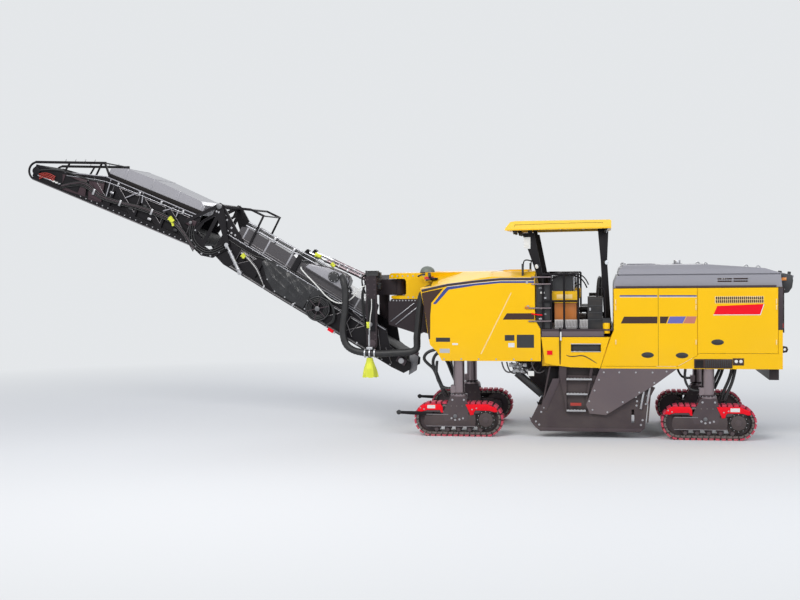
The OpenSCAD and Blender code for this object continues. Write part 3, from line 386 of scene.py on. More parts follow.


# The canopy roof's yellow is paler than the body's: the sky's reflection on the roof is painted into its
# colour.
canopy_yellow = paint("canopy_yellow", (0.93, 0.6, 0.07), 0.3, 0.1, 0.1)
dress(canopy_yellow, "canopy_roof")
dress(yellow, "front_cover", "slew_mount", "rear_body", "side_tanks", *four("door"))
dress(dark, "main_frame", "primary_conveyor", "drum_housing", "rear_grille", "rear_fittings",
    "slew_bracket", "scraper")
dress(frame_dark, "lower_frame", "outer_frame", "canopy_posts", "platform_rails")
dress(leg_grey, *four("crawler"), "engine")
dress(plate_grey, "ladders", "side_plate_left", "side_plate_right", "platform")
dress(skirt_grey, "side_skirts")
dress(hood_grey, "hood")
dress(cover_grey, "outer_cover")
dress(cover_black, "lower_cover")
dress(leg_steel, *four("column"))
dress(chrome, "lift_rods", "fold_rods")
dress(zinc, "fold_barrels")
dress(black_rubber, "seats")
dress(leg_steel, "lift_barrels")
dress(cut_steel, "milling_drum")
dress(hose_rubber, *four("hoses"))
dress(duct_rubber, "suction_duct", "duct_stub")
dress(white_rubber, "white_hose")
dress(belt_rubber, "lower_belt", "outer_belt")
dress(tarp_cloth, "side_tarp")
dress(vis_cloth, "hang_bag")
print("dressed")

# %% [markdown]
# Every small piece is made as by hand: a primitive, then extrude, inset and bevel. These few
# helpers hold the steps that come back again and again. keep() closes each one: it bakes the
# place into the mesh and gives the finish. It also says which body a single piece rides on, while
# pieces that end as one are joined first, and join() says it for all of them. M() places a point
# of the machine, L() one of the conveyor's lower section and O() one of its outer section, both
# drawn level from their own axes.

# %% Helpers for small pieces
def M_turn(x, y, z, axis_x, axis_z, deg):
    a = math.radians(deg)
    return M(axis_x + x * math.cos(a) + z * math.sin(a), y, axis_z - x * math.sin(a) + z * math.cos(a))


LUFF_X, LUFF_Z, LOWER_RISE = -4060, 1720, 31
APEX_X, APEX_Z, OUTER_RISE = -7167.5, 4479.7, 23


def L(x, y, z): return M_turn(x, y, z, LUFF_X, LUFF_Z, LOWER_RISE)
def O(x, y, z): return M_turn(x, y, z, APEX_X, APEX_Z, OUTER_RISE)


def edit(): bpy.ops.object.mode_set(mode="EDIT")
def leave(): bpy.ops.object.mode_set(mode="OBJECT")


def face_out():
    """Turns every face of the active piece outward."""
    edit()
    bpy.ops.mesh.select_all(action="SELECT")
    bpy.ops.mesh.normals_make_consistent(inside=False)
    leave()


def turned(heading):
    """The rotation that lays a primitive's axis along a heading."""
    return heading.to_track_quat("Z", "Y").to_euler()


def finish_with(piece, kind, **settings):
    """Adds a modifier and applies it."""
    m = piece.modifiers.new(kind.lower(), kind)
    for k, v in settings.items():
        setattr(m, k, v)
    bpy.ops.object.modifier_apply(modifier=m.name)


def clear():
    if bpy.context.object and bpy.context.object.mode != "OBJECT":
        leave()
    bpy.ops.object.select_all(action="DESELECT")


def keep(name, finish, bevel=0.0, smooth=35, body=None):
    o = bpy.context.object
    o.name = name
    bpy.ops.object.transform_apply(location=True, rotation=True, scale=True)
    if finish:
        o.data.materials.clear()
        o.data.materials.append(finish.material)
    if bevel:
        finish_with(o, "BEVEL", width=bevel / 1000, segments=2, limit_method="ANGLE",
            angle_limit=math.radians(40))
    bpy.ops.object.shade_smooth_by_angle(angle=math.radians(smooth))
    if body:
        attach(o, body)
    return o


def cut(name, outline, low, high, finish, bevel=1.5, at=M, body=None):
    """A plate cut to an outline: a filled circle moved to the outline's points, then extruded."""
    clear()
    bpy.ops.mesh.primitive_circle_add(vertices=len(outline), fill_type="NGON")
    o = bpy.context.object
    for v, (a, b) in zip(o.data.vertices, outline):
        v.co = at(a, low, b)
    shift = at(0, high, 0) - at(0, low, 0)
    edit()
    bpy.ops.mesh.select_all(action="SELECT")
    bpy.ops.mesh.extrude_region_move(TRANSFORM_OT_translate={"value": shift})
    leave()
    face_out()
    return keep(name, finish, bevel, body=body)


def block(name, low, high, finish, bevel=4, at=M, inset=0, body=None):
    """A box between two corners, with its edges broken and, where asked, a panel pressed into its sides."""
    x0, y0, z0 = low
    x1, y1, z1 = high
    o = cut(name, [(x0, z0), (x1, z0), (x1, z1), (x0, z1)], y0, y1, finish, 0 if inset
        else bevel, at, body=body)
    if inset:
        edit()
        bpy.ops.mesh.select_all(action="SELECT")
        bpy.ops.mesh.inset(thickness=inset / 1000, depth=-inset / 5000, use_individual=True)
        leave()
        finish_with(o, "BEVEL", width=min(bevel, inset / 6) / 1000, segments=2)
    return o


def round_bar(name, a, b, r, finish, sides=16, cap=0.0, bevel=1.0, body=None):
    """A round bar from a to b, points in metres. cap insets and raises its ends, as on a pin."""
    clear()
    a, b = Vector(a), Vector(b)
    bpy.ops.mesh.primitive_cylinder_add(vertices=sides, radius=r / 1000, depth=(b - a).length,
        location=(a + b) / 2, rotation=turned(b - a))
    o = bpy.context.object
    if cap:
        edit()
        bpy.ops.mesh.select_all(action="DESELECT")
        leave()
        for p in o.data.polygons:
            p.select = len(p.vertices) > 4
        edit()
        bpy.ops.mesh.inset(thickness=r / 1000 * 0.3, depth=cap / 1000)
        bpy.ops.mesh.inset(thickness=r / 1000 * 0.12, depth=-cap / 2000)
        leave()
    return keep(name, finish, bevel, body=body)


def pipe(name, points, r, finish, sides=10, smooth=True, body=None):
    """A bent pipe or fixed hose through points in metres."""
    clear()
    bpy.ops.curve.primitive_nurbs_path_add()
    o = bpy.context.object
    o.data.splines.clear()
    s = o.data.splines.new("NURBS" if smooth else "POLY")
    s.points.add(len(points) - 1)
    for q, p in zip(s.points, points):
        q.co = (*p, 1)
    if smooth:
        s.order_u, s.use_endpoint_u = 3, True
        s.resolution_u = 5
    o.location = (0, 0, 0)
    o.data.dimensions = "3D"
    o.data.bevel_depth, o.data.bevel_resolution, o.data.use_fill_caps = r / 1000, max(1, sides // 4), True
    bpy.ops.object.convert(target="MESH")
    return keep(name, finish, 0, 60, body=body)


def join(name, pieces, body):
    clear()
    pieces = [p for p in pieces if p]
    for p in pieces:
        p.parent = None
        p.select_set(True)
    bpy.context.view_layer.objects.active = pieces[0]
    if len(pieces) > 1:
        bpy.ops.object.join()
    o = bpy.context.object
    o.name = name
    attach(o, body)
    return o


def other_side(piece, name, body):
    """The same piece on the machine's other side, as its own mesh."""
    clear()
    piece.select_set(True)
    bpy.context.view_layer.objects.active = piece
    bpy.ops.object.duplicate()
    o = bpy.context.object
    o.scale = (1, -1, 1)
    bpy.ops.object.transform_apply(location=False, rotation=False, scale=True)
    face_out()
    o.name = name
    o.parent = None
    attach(o, body)
    return o


def bolt_row(name, places, facing, r, finish, rise=None, body=None):
    """Hexagon heads on washers, modelled once and copied to each place."""
    clear()
    rise = rise or r * 0.8
    facing = Vector(facing).normalized()
    bpy.ops.mesh.primitive_cylinder_add(vertices=12, radius=r * 1.5 / 1000, depth=3 / 1000,
        rotation=turned(facing))
    bpy.ops.object.transform_apply(rotation=True)
    washer = bpy.context.object
    bpy.ops.object.select_all(action="DESELECT")
    bpy.ops.mesh.primitive_cylinder_add(vertices=6, radius=r / 1000, depth=rise / 1000,
        location=facing * rise / 2000, rotation=turned(facing))
    bpy.ops.object.transform_apply(location=True, rotation=True)
    washer.select_set(True)
    bpy.ops.object.join()
    first = bpy.context.object
    heads = []
    for p in places:
        o = first.copy()
        o.data = first.data.copy()
        bpy.context.scene.collection.objects.link(o)
        o.data.transform(Matrix.Translation(p))
        heads.append(o)
    bpy.data.objects.remove(first)
    clear()
    for o in heads:
        o.select_set(True)
    bpy.context.view_layer.objects.active = heads[0]
    if len(heads) > 1:
        bpy.ops.object.join()
    return keep(name, finish, 0, 30, body=body)


def lamp(name, place, facing, r, glass=None, depth=60, body=None):
    """A work lamp: a housing whose front is inset for the rim and pushed in for the glass."""
    clear()
    facing = Vector(facing).normalized()
    bpy.ops.mesh.primitive_cylinder_add(vertices=20, radius=r / 1000, depth=depth / 1000,
        location=Vector(place), rotation=turned(facing))
    o = bpy.context.object
    o.data.materials.append(black_plastic.material)
    o.data.materials.append((glass or lamp_glass).material)
    bpy.ops.object.transform_apply(location=True, rotation=True)
    for p in o.data.polygons:
        p.select = p.normal.dot(facing) > 0.9
    edit()
    bpy.ops.mesh.inset(thickness=r / 1000 * 0.14)
    bpy.ops.mesh.inset(thickness=r / 1000 * 0.04, depth=-r / 1000 * 0.22)
    bpy.ops.mesh.inset(thickness=r / 1000 * 0.3, depth=r / 1000 * 0.1)
    leave()
    c = Vector(place) + facing * depth / 2000
    for p in o.data.polygons:
        if p.normal.dot(facing) > 0.6 and (Vector(p.center) - c).length < r / 1000 * 0.8:
            p.material_index = 1
    return keep(name, None, 0.8, 40, body=body)


print("helpers ready")


# %% [markdown]
# The livery is foil on the real machine: flat shapes cut by a plotter. Here each is a plate a
# millimetre and a half thick, cut to its outline, so that its edge stays crisp from any distance.
# The plates and labels are blank shapes. The pale line along the front cover's crease is no livery but a
# painted highlight, cut as foil in the same way.

# %% Stripes and blank plates
SKIN = 1250
FRONT_DOOR, REAR_DOOR = "engine_door_front", "engine_door_rear"


def sides(piece, body):
    """Copies a piece of the near side to the far side, on the body of the same name there."""
    paired = body not in frame["bodies"]
    name = piece.name
    piece.name = name + "_left"
    return piece, other_side(piece, name + "_right", body + "_right" if paired else body)


def near(body):
    return body if body in frame["bodies"] else body + "_left"


def foil(name, outline, finish, body="chassis", depth=1.5, skin=SKIN):
    return sides(cut(name, outline, -skin, -skin - depth, finish, 0, body=near(body)), body)


# This pale gold is the real colour of the hinge covers, the louvre's back and a console plate, and a painted
# highlight where it lines the front cover's crease.
facet_gold = paint("facet_gold", (0.86, 0.62, 0.25), 0.3, 0.4, 0.05)
foil("band_silver", [(-2984, 2792), (-2487, 2896), (-1955, 2958), (-1485, 2998), (-850, 2998), (-850, 2950),
    (-1485, 2954), (-1956, 2914), (-2487, 2850), (-2972, 2742)], plate_grey)
foil("band_edge", [(-2984, 2798), (-2487, 2902), (-1955, 2964), (-1485, 3004), (-850, 3004), (-850, 2998),
    (-1485, 2998), (-1955, 2958), (-2487, 2896), (-2984, 2792)], silver)
foil("band_white", [(-2487, 2846), (-1956, 2909), (-1485, 2949), (-850, 2946), (-850, 2937), (-1485, 2940),
    (-1956, 2900), (-2487, 2838)], white)
foil("band_blue", [(-2487, 2838), (-1956, 2900), (-1485, 2940), (-850, 2937), (-850, 2902), (-1485, 2905),
    (-1956, 2862), (-2455, 2788), (-2700, 2517), (-2762, 2517), (-2560, 2770)], blue)
foil("band_dark", [(-2972, 2730), (-2560, 2815), (-2600, 2765), (-2790, 2540), (-2812, 2300), (-2822, 1850),
    (-2848, 1850), (-2873, 2060), (-2932, 2460), (-2975, 2700)], brown)
foil("mark_front", [(-1441, 2219), (-1362, 2337), (-850, 2337), (-850, 2219)], brown)
# A pale strip along the front cover's fold line: a painted highlight on the crease, not livery.
foil("facet_line", [(-1290, 2720), (-1268, 2722), (-1842, 1571), (-1868, 1571)], facet_gold)
foil("line_a", [(716, 2664), (1388, 2660), (1388, 2634), (716, 2638)], blue, FRONT_DOOR)
foil("line_b", [(1424, 2660), (2090, 2656), (2090, 2630), (1424, 2634)], blue, FRONT_DOOR)
foil("line_white_a", [(716, 2637), (1388, 2633), (1388, 2622), (716, 2626)], white, FRONT_DOOR)
foil("line_white_b", [(1424, 2633), (2090, 2629), (2090, 2618), (1424, 2622)], white, FRONT_DOOR)
foil("mark_a", [(732, 2143), (791, 2269), (1390, 2269), (1390, 2143)], brown, FRONT_DOOR)
foil("mark_b", [(1436, 2143), (1436, 2269), (1592, 2269), (1546, 2143)], brown, FRONT_DOOR)
foil("mark_c", [(1564, 2143), (1612, 2269), (1900, 2269), (1838, 2143)], violet, FRONT_DOOR)
foil("mark_d", [(1850, 2143), (1912, 2269), (2092, 2269), (2050, 2143)], pinkish, FRONT_DOOR)
foil("plate_red", [(2386, 2303), (2450, 2457), (3257, 2490), (3197, 2303)], red, REAR_DOOR, 4)
foil("plate_rim", [(2374, 2290), (2386, 2303), (3197, 2303), (3257, 2490), (3272, 2492), (3206, 2290)],
    white, REAR_DOOR, 5)
BLANKS = [
    (-1405, 1822, -1225, 1930, black_plastic), (-1180, 1690, -860, 1935, black_plastic),
    (-1340, 1700, -1225, 1780, white), (-2710, 1800, -2440, 1880, black_plastic),
    (-2400, 1740, -2290, 1775, white), (-2640, 1590, -2450, 1670, silver),
]
for i, (x0, z0, x1, z1, finish) in enumerate(BLANKS):
    foil(f"label_{i}", [(x0, z0), (x1, z0), (x1, z1), (x0, z1)], finish)
foil("label_ladder", [(-195, 612), (5, 612), (5, 668), (-195, 668)], red_rubber, skin=1252)
foil("hood_foot", [(640, 2796), (3480, 2796), (3480, 2830), (640, 2830)], leg_grey, depth=0.8)
foil("label_square", [(-976, 1162), (-864, 1162), (-864, 1255), (-976, 1255)], white)

# %% [markdown]
# The doors are pressed panels. What shows from a step away are the gap between each pair of
# leaves, the oval pull latches, the row of louvres at the back and the small hinge covers.
# The latches are a cylinder squeezed to an oval, its face inset twice for the rim and the cup.

# %% Latches, seams, louvres and hinges
def latch(name, x, z, wide, high, body):
    clear()
    bpy.ops.mesh.primitive_cylinder_add(vertices=28, radius=1, depth=0.026, location=M(x, -SKIN - 2, z),
        rotation=(math.pi / 2, 0, 0))
    o = bpy.context.object
    o.scale = (wide / 2000, high / 2000, 1)
    bpy.ops.object.transform_apply(scale=True, location=True, rotation=True)
    for p in o.data.polygons:
        p.select = p.normal.y < -0.9
    edit()
    bpy.ops.mesh.inset(thickness=0.014)
    bpy.ops.mesh.inset(thickness=0.006, depth=-0.016)
    bpy.ops.mesh.inset(thickness=0.012, depth=0.006)
    leave()
    keep(name, black_plastic, 1.2)
    paddle = cut(name + "_paddle", [(x - wide * 0.22, z - high * 0.16), (x + wide * 0.22, z - high * 0.16),
                                    (x + wide * 0.18, z + high * 0.2), (x - wide * 0.18, z + high * 0.2)],
                 -SKIN - 6, -SKIN - 15, black_plastic, 2)
    return sides(join(name, [o, paddle], near(body)), body)


latch("latch_a", 1212, 1562, 270, 150, FRONT_DOOR)
latch("latch_b", 1826, 1557, 270, 150, FRONT_DOOR)
latch("latch_c", 2455, 1799, 270, 150, REAR_DOOR)

gap_black = paint("gap_black", (0.012, 0.01, 0.01), 0.7, 0, 0.1)
foil("seam_doors", [(1402, 1362), (1408, 1362), (1408, 2780), (1402, 2780)], gap_black, FRONT_DOOR, 0.6)
for i, z in enumerate((2540, 2430, 1800)):
    for x, body in ((2076, FRONT_DOOR), (640, FRONT_DOOR), (3480, REAR_DOOR)):
        sides(block(f"hinge_{x}_{i}", (x - 12, -SKIN - 12, z - 45), (x + 12, -SKIN - 0.2, z + 45),
                    facet_gold, 5, body=near(body)), body)
slats = []
for row in range(2):
    for k in range(24):
        x = 2425 + k * 35
        slats.append(cut(f"slat_{row}_{k}", [(x, 2516 + row * 60), (x + 22, 2516 + row * 60),
            (x + 22, 2566 + row * 60), (x, 2566 + row * 60)], -SKIN - 1, -SKIN - 9, brown, 1.5))
back = block("louvre_back", (2408, -SKIN - 3, 2506), (3262, -SKIN - 0.2, 2634), facet_gold, 1)
sides(join("louvre", [back, *slats], near(REAR_DOOR)), REAR_DOOR)
sockets = [block("socket_plate", (2722, -SKIN - 8, 1378), (2915, -SKIN - 0.2, 1508), brown, 3)]
for x in (2780, 2860):
    sockets.append(round_bar("socket", M(x, -SKIN - 8, 1452), M(x, -SKIN - 30, 1452), 26, white, 20, 6))
sides(join("sockets", sockets, "chassis"), "chassis")
grid = [block("vent_frame", (2040, -SKIN - 10, 1322), (2716, -SKIN - 0.2, 1492), brown, 3)]
for k in range(12):
    grid.append(block(f"vent_{k}", (2240 + k * 38, -SKIN - 18, 1336), (2264 + k * 38, -SKIN - 10, 1478),
        black_plastic, 2))
grid.append(block("vent_box", (2062, -SKIN - 22, 1345), (2200, -SKIN - 10, 1470), gap_black, 3, inset=14))
sides(join("vents", grid, "chassis"), "chassis")
print("latches, hinges, louvre and vents done")

# %% [markdown]
# Each crawler is a closed chain with rubber pads bolted to its plates. The CAD node is one loop
# of pads and chain, so its finish has two parts: crimson where the distance from the loop's
# middle line says pad, black steel inside. The links that show between pad and frame are small
# figure-of-eight plates, modelled once and copied round the loop, pitch by pitch.

# %% Pads and chain finish
COLUMN_X, TRACK_Y, COLUMN_Y, FLANGE_Z = 2297.5, 1105, 1075, 792
LOOP_R, HALF_STRAIGHT, CHAIN_R = 327.5, 522.5, 285.5
PIN_R, LINKS = CHAIN_R - 26, 36
pads = rubber("track_pads", (0.36, 0.022, 0.05), 0.6, 0.3, 60)
reach = (pads.x - (SHIFT - COLUMN_X) / 1000).abs().least((pads.x - (SHIFT + COLUMN_X) / 1000).abs())
round_end = (reach - HALF_STRAIGHT / 1000).most(0)
height = pads.z - LOOP_R / 1000
radius = (round_end * round_end + height * height) ** 0.5
is_pad = radius > (CHAIN_R + 4) / 1000
dust = (1 - pads.z.ramp(0, 0.5)) * pads.noise(9, 4).ramp(0.3, 0.7) * 0.55
rubbed = pads.noise(22, 4)
pads.put("Base Color", pads.blend(dust, pads.blend(is_pad, (0.02, 0.017, 0.018),
    pads.blend(rubbed * 0.4, (0.55, 0.03, 0.075), (0.3, 0.05, 0.07))), (0.24, 0.18, 0.16)))
pads.put("Metallic", (1 - is_pad) * 0.5)
dress(pads, *four("track"))


def round_the_loop(s):
    """Place and heading on the chain's line, a distance s along it in millimetres."""
    r = PIN_R
    straight, arc = 2 * HALF_STRAIGHT, math.pi * r
    s = s % (2 * straight + 2 * arc)
    if s < straight:
        return -HALF_STRAIGHT + s, LOOP_R + r, 0
    s -= straight
    if s < arc:
        a = math.pi / 2 - s / r
        return HALF_STRAIGHT + r * math.cos(a), LOOP_R + r * math.sin(a), s / r
    s -= arc
    if s < straight:
        return HALF_STRAIGHT - s, LOOP_R - r, math.pi
    s -= straight
    a = -math.pi / 2 - s / r
    return -HALF_STRAIGHT + r * math.cos(a), LOOP_R + r * math.sin(a), math.pi + s / r


def chain_links(name, x0, y_face, outward, body):
    """Links on one face of a track: one link, copied to every pitch."""
    clear()
    bpy.ops.mesh.primitive_circle_add(vertices=12, fill_type="NGON")
    first = bpy.context.object
    shape = [(-42, -10), (-34, -20), (-20, -20), (-8, -12), (8, -12), (20, -20), (34, -20), (42, -10),
        (36, 14), (14, 18), (-14, 18), (-36, 14)]
    for v, (a, b) in zip(first.data.vertices, shape):
        v.co = (a / 1000, 0, b / 1000)
    edit()
    bpy.ops.mesh.select_all(action="SELECT")
    bpy.ops.mesh.extrude_region_move(TRANSFORM_OT_translate={"value": (0, outward * 0.010, 0)})
    leave()
    face_out()
    bpy.ops.object.select_all(action="DESELECT")
    bpy.ops.mesh.primitive_cylinder_add(vertices=8, radius=0.011, depth=0.02,
        location=(0.028, outward * 0.012, -0.004), rotation=(math.pi / 2, 0, 0))
    bpy.ops.object.transform_apply(location=True, rotation=True)
    first.select_set(True)
    bpy.context.view_layer.objects.active = first
    bpy.ops.object.join()
    total = 4 * HALF_STRAIGHT + 2 * math.pi * PIN_R
    made = []
    for i in range(LINKS):
        x, z, turn = round_the_loop((i + 0.5) * total / LINKS)
        o = first.copy()
        o.data = first.data.copy()
        bpy.context.scene.collection.objects.link(o)
        o.data.transform(Matrix.Translation(M(x0 + x, y_face, z)) @ Matrix.Rotation(turn, 4, "Y"))
        made.append(o)
    bpy.data.objects.remove(first)
    clear()
    for o in made:
        o.select_set(True)
    bpy.context.view_layer.objects.active = made[0]
    bpy.ops.object.join()
    return keep(name, chain_steel, 0, 30, body=body)


# %% [markdown]
# Over each end of a crawler sits a red guard: a plate with a lip folded over the pads. The plate
# is cut to its outline, and the lip is the same plate's upper edge, extruded inward.

# %% Guards, hubs and track frames
gap_dark = paint("gap_dark", (0.012, 0.01, 0.01), 0.6, 0, 0.1)
edge_grey = paint("edge_grey", (0.2, 0.18, 0.19), 0.5, 0, 0.1)


def guard(name, outline, top, x0, y, body):
    """Plate outside the yoke's plate at y, and the lip along the points of top."""
    face = cut(name, [(x0 + a, b) for a, b in outline], y, y - 6, red, 2)
    lip = [(x0 + a, b) for a, b in top]
    strip = cut(name + "_lip", lip + [(a, b - 6) for a, b in reversed(lip)], y - 5, y + 62, red, 1)
    bolts = bolt_row(name + "_bolts",
        [M(x0 + a, y - 6, b) for a, b in ((outline[0][0] * 0.6 + outline[2][0] * 0.4, 545),
        (outline[0][0] * 0.3 + outline[-2][0] * 0.7, 520))], (0, -1, 0), 9, zinc)
    return join(name, [face, strip, bolts], body)


def crawler_trim(end, sign, y_out):
    """Everything added to one near-side crawler, drawn at its column."""
    x0 = sign * COLUMN_X
    body = f"track_unit_{end}_left"
    y = y_out - 20.5
    made = [
        guard(f"guard_{end}_a", [(-778, 480), (-738, 565), (-640, 614), (-330, 614), (-296, 560), (-292, 450),
            (-330, 462), (-350, 505), (-600, 500), (-700, 470)], [(-778, 480), (-738, 565), (-640, 614),
            (-330, 614)], x0, y, body),
        guard(f"guard_{end}_b", [(205, 480), (140, 614), (560, 619), (722, 544), (745, 480), (690, 470),
            (600, 500), (330, 505), (300, 470), (290, 420), (232, 410)], [(140, 614), (560, 619), (722, 544),
            (745, 480)], x0, y, body),
        cut(f"guard_label_{end}", [(x0 - 590, 535), (x0 - 440, 535), (x0 - 440, 598), (x0 - 590, 598)]
            if sign < 0 else [(x0 + 380, 530), (x0 + 545, 530), (x0 + 545, 598), (x0 + 380, 598)], y - 6,
            y - 7.5, white, 0),
    ]
    # Hub with its ring of bolts, over the sprocket
    hub = M(x0 + HALF_STRAIGHT, y_out - 16, LOOP_R)
    out = Vector((0, -1, 0))
    made += [
        round_bar(f"hub_{end}", hub, hub + out * 0.008, 176, gap_dark, 40, 4, 3),
        round_bar(f"hub_rim_{end}", hub + out * 0.0082, hub + out * 0.015, 140, plate_grey, 8, 3, 3),
        round_bar(f"hub_cap_{end}", hub + out * 0.015, hub + out * 0.021, 52, leg_grey, 24, 4, 2),
    ]
    ring = [hub + out * 0.008 + Vector((0.158 * math.cos(a), 0, 0.158 * math.sin(a)))
        for a in [k * math.pi / 6 for k in range(12)]]
    made.append(bolt_row(f"hub_bolts_{end}", ring, (0, -1, 0), 8, zinc))
    # Side of the roller frame, with a raised panel between the wheels
    made += [
        cut(f"roller_frame_{end}", [(x0 - 620, 196), (x0 - 648, 225), (x0 - 655, 310), (x0 - 640, 400),
            (x0 - 610, 426), (x0 + 322, 426), (x0 + 334, 330), (x0 + 322, 196)], y_out + 2,
            y_out - 14, plate_grey, 5),
        block(f"frame_top_{end}", (x0 - 610, y_out - 20, 412), (x0 - 190, y_out - 14, 428), edge_grey, 2),
        block(f"frame_foot_{end}", (x0 - 618, y_out - 19, 190), (x0 + 320, y_out - 14, 204), edge_grey, 2),
        bolt_row(f"yoke_bolts_{end}",
            [M(x0 + a, y_out - 15.5, b) for a, b in ((-110, 700), (110, 700), (-130, 350), (90, 350),
            (-60, 318), (20, 330))], (0, -1, 0), 13, zinc),
        round_bar(f"yoke_pin_{end}", M(x0 - 60, y_out - 15, 390), M(x0 - 60, y_out - 28, 390), 34,
            pin_steel, 24, 6, 2),
    ]
    if sign < 0:
        made += [
            cut("tow_bar", [(-3440, 478), (-2790, 470), (-2790, 398), (-2960, 396), (-3440, 424)], y_out + 1,
                y_out - 17, frame_dark, 3),
            round_bar("tow_eye", M(-3440, y_out + 1, 451), M(-3440, y_out - 22, 451), 40,
                black_rubber, 24, 8, 3),
        ]
    for k in range(5):
        rx = x0 + (-0.8 + 0.4 * k) * HALF_STRAIGHT
        made.append(round_bar(f"roller_cap_{end}_{k}", M(rx, y_out + 3, 131), M(rx, y_out - 9, 131), 34,
            leg_grey, 20, 4, 2))
    return [p for p in made if p]


for end, sign in (("front", -1), ("rear", 1)):
    y_out = -(TRACK_Y + 135)
    left = join(f"crawler_trim_{end}_left", crawler_trim(end, sign, y_out), f"track_unit_{end}_left")
    other_side(left, f"crawler_trim_{end}_right", f"track_unit_{end}_right")
    for side, s in (("left", -1), ("right", 1)):
        for face in (-1, 1):
            chain_links(f"links_{end}_{side}_{'in' if face * s < 0 else 'out'}", sign * COLUMN_X,
                s * TRACK_Y + face * 130, face, f"track_unit_{end}_{side}")
print("crawlers dressed")

# %% [markdown]
# The lifting columns are ground steel tubes with a bolted flange on the crawler's saddle, and a
# wiper ring where the tube slides. One flange is dressed in a loop for all four legs.

# %% Column flanges, wipers and valves
for end, sign in (("front", -1), ("rear", 1)):
    for side, s in (("left", -1), ("right", 1)):
        body = f"leg_{end}_{side}"
        c = (sign * COLUMN_X, s * COLUMN_Y)
        ring = [M(c[0] + 140 * math.cos(a), c[1] + 140 * math.sin(a), FLANGE_Z)
            for a in [math.pi / 12 + k * math.pi / 6 for k in range(12)]]
        made = [
            bolt_row(f"flange_bolts_{end}_{side}", ring, (0, 0, 1), 12, zinc),
            round_bar(f"wiper_{end}_{side}", M(*c, 800), M(*c, 830), 124 if sign < 0 else 132,
                leg_grey, 40, 0, 3),
            block(f"valve_{end}_{side}", (c[0] - 158, c[1] - 60, 850), (c[0] - 118, c[1] + 60, 960), zinc, 5),
        ]
        join(f"column_trim_{end}_{side}", made, body)
print("columns dressed")

# %% [markdown]
# The discharge conveyor is two lattice boxes round a rubber belt. The CAD solids carry the
# lattices, covers, pins and rollers. What is added here is what an assembler hangs on them:
# hydraulic pipes in clamps, cables, bolts along the joints, scrapers at the head, wraps and straps.

# %% Lower section: pipes, clamps and bolts
SIDE = 600
low = []
for k, (z, r) in enumerate(((715, 17), (752, 14), (785, 17), (742, 12))):
    y = -524 + k * 34
    low.append(pipe(f"pipe_low_{k}", [L(-3440, y, z - 20), L(-3300, y, z), L(-2400, y, z + 6),
        L(-1700, y, z + 60), L(-1050, y, z - 10), L(-900, y, z - 130)], r, pipe_steel if k % 2 == 0
        else hose_rubber))
for x in (-3200, -2800, -2350):
    low.append(block("pipe_clamp", (x, -548, 680), (x + 46, -398, 810), zinc, 5, L))
join("pipes_lower", low, "lower")
edge = []
for s in (-1, 1):
    edge.append(bolt_row("side_bolts", [L(-3650 + k * 150, s * SIDE, 350) for k in range(24)]
        + [L(-3300 + k * 190, s * SIDE, -185) for k in range(21)], (0, s, 0), 8, zinc))
    for i in range(6):
        x = -3300 + i * 520
        edge.append(round_bar("gusset", L(x + 60, s * (SIDE - 20), 205),
            L(x + 370, s * (SIDE - 20), 205), 9, zinc, 10))
    edge.append(bolt_row("lug_bolts", [L(-3700 + a, s * SIDE, 420 + b) for a, b in ((0, 0), (90, 0), (180, 0),
        (40, 90), (-120, 180), (-200, 240))], (0, s, 0), 14, zinc))
join("bolts_lower", edge, "lower")
rail = []
for s in (-1, 1):
    rail += [
        cut("side_rail", [(-3740, 352), (-3740, 368), (80, 368), (80, 352)], s * SIDE, s * (SIDE + 14),
            pipe_steel, 2, L),
        cut("lower_rail", [(-3440, -214), (-3440, -196), (560, -196), (560, -214)], s * SIDE, s * (SIDE + 10),
            frame_dark, 2, L),
        pipe("cable_run", [L(-3700, s * (SIDE + 14), 280), L(-3000, s * (SIDE + 16), 250),
            L(-2850, s * (SIDE + 15), 300), L(-2400, s * (SIDE + 15), 395), L(-1500, s * (SIDE + 14), 398),
            L(-1000, s * (SIDE + 14), 300), L(-640, s * (SIDE + 14), 270)], 12, hose_rubber),
    ]
join("rails_lower", rail, "lower")
print("lower section piped")

# %% [markdown]
# The cover is bent sheet in five lengths with a flange bolted at each joint. A joint is a low
# rib round the cover, which reads as a seam from the side and keeps the long sheet from looking
# like one block.

# %% Seams over the conveyor's covers
COVER = 555
ribs = []
for x, top in ((-3380, 677), (-2860, 679), (-2330, 682), (-700, 620)):
    ribs.append(cut("cover_rib", [(x, 384), (x, top), (x + 34, top), (x + 34, 384)], -COVER - 6,
        COVER + 6, cover_grey, 2, L))
    for s in (-1, 1):
        joint = [L(x + 17, s * (COVER + 6), 420 + k * 75) for k in range(3)]
        ribs.append(bolt_row("rib_bolts", joint, (0, s, 0), 8, zinc))
ribs += [
    cut("cover_lip", [(-3500, 381), (-3500, 396), (-405, 396), (-405, 381)], -COVER - 12, -COVER,
        cover_grey, 2, L),
    cut("cover_lip_far", [(-3500, 381), (-3500, 396), (-405, 396), (-405, 381)], COVER, COVER + 12,
        cover_grey, 2, L),
]
join("cover_seams_lower", ribs, "lower")
fan = [
    cut("fan_rim", [(-1890, 706), (-1500, 836), (-1200, 880), (-1098, 872), (-1030, 820), (-1005, 705),
        (-1018, 612), (-1930, 620)], -SIDE - 55, -SIDE - 61, cover_grey, 3, L),
    round_bar("fan_hub", L(-1330, -SIDE - 60, 740), L(-1330, -SIDE - 92, 740), 105, black_plastic, 36, 8, 4),
    bolt_row("fan_bolts", [L(-1330 + 85 * math.cos(a), -SIDE - 92, 740 + 85 * math.sin(a))
        for a in [k * math.pi / 4 for k in range(8)]], (0, -1, 0), 8, zinc),
    bolt_row("fan_rim_bolts", [L(a, -SIDE - 61, b) for a, b in ((-1860, 690), (-1650, 770), (-1480, 825),
        (-1230, 865), (-1110, 855), (-1045, 800), (-1025, 640), (-1250, 632), (-1550, 630), (-1850, 640))],
        (0, -1, 0), 8, zinc),
]
join("fan_trim", fan, "lower")
ribs = []
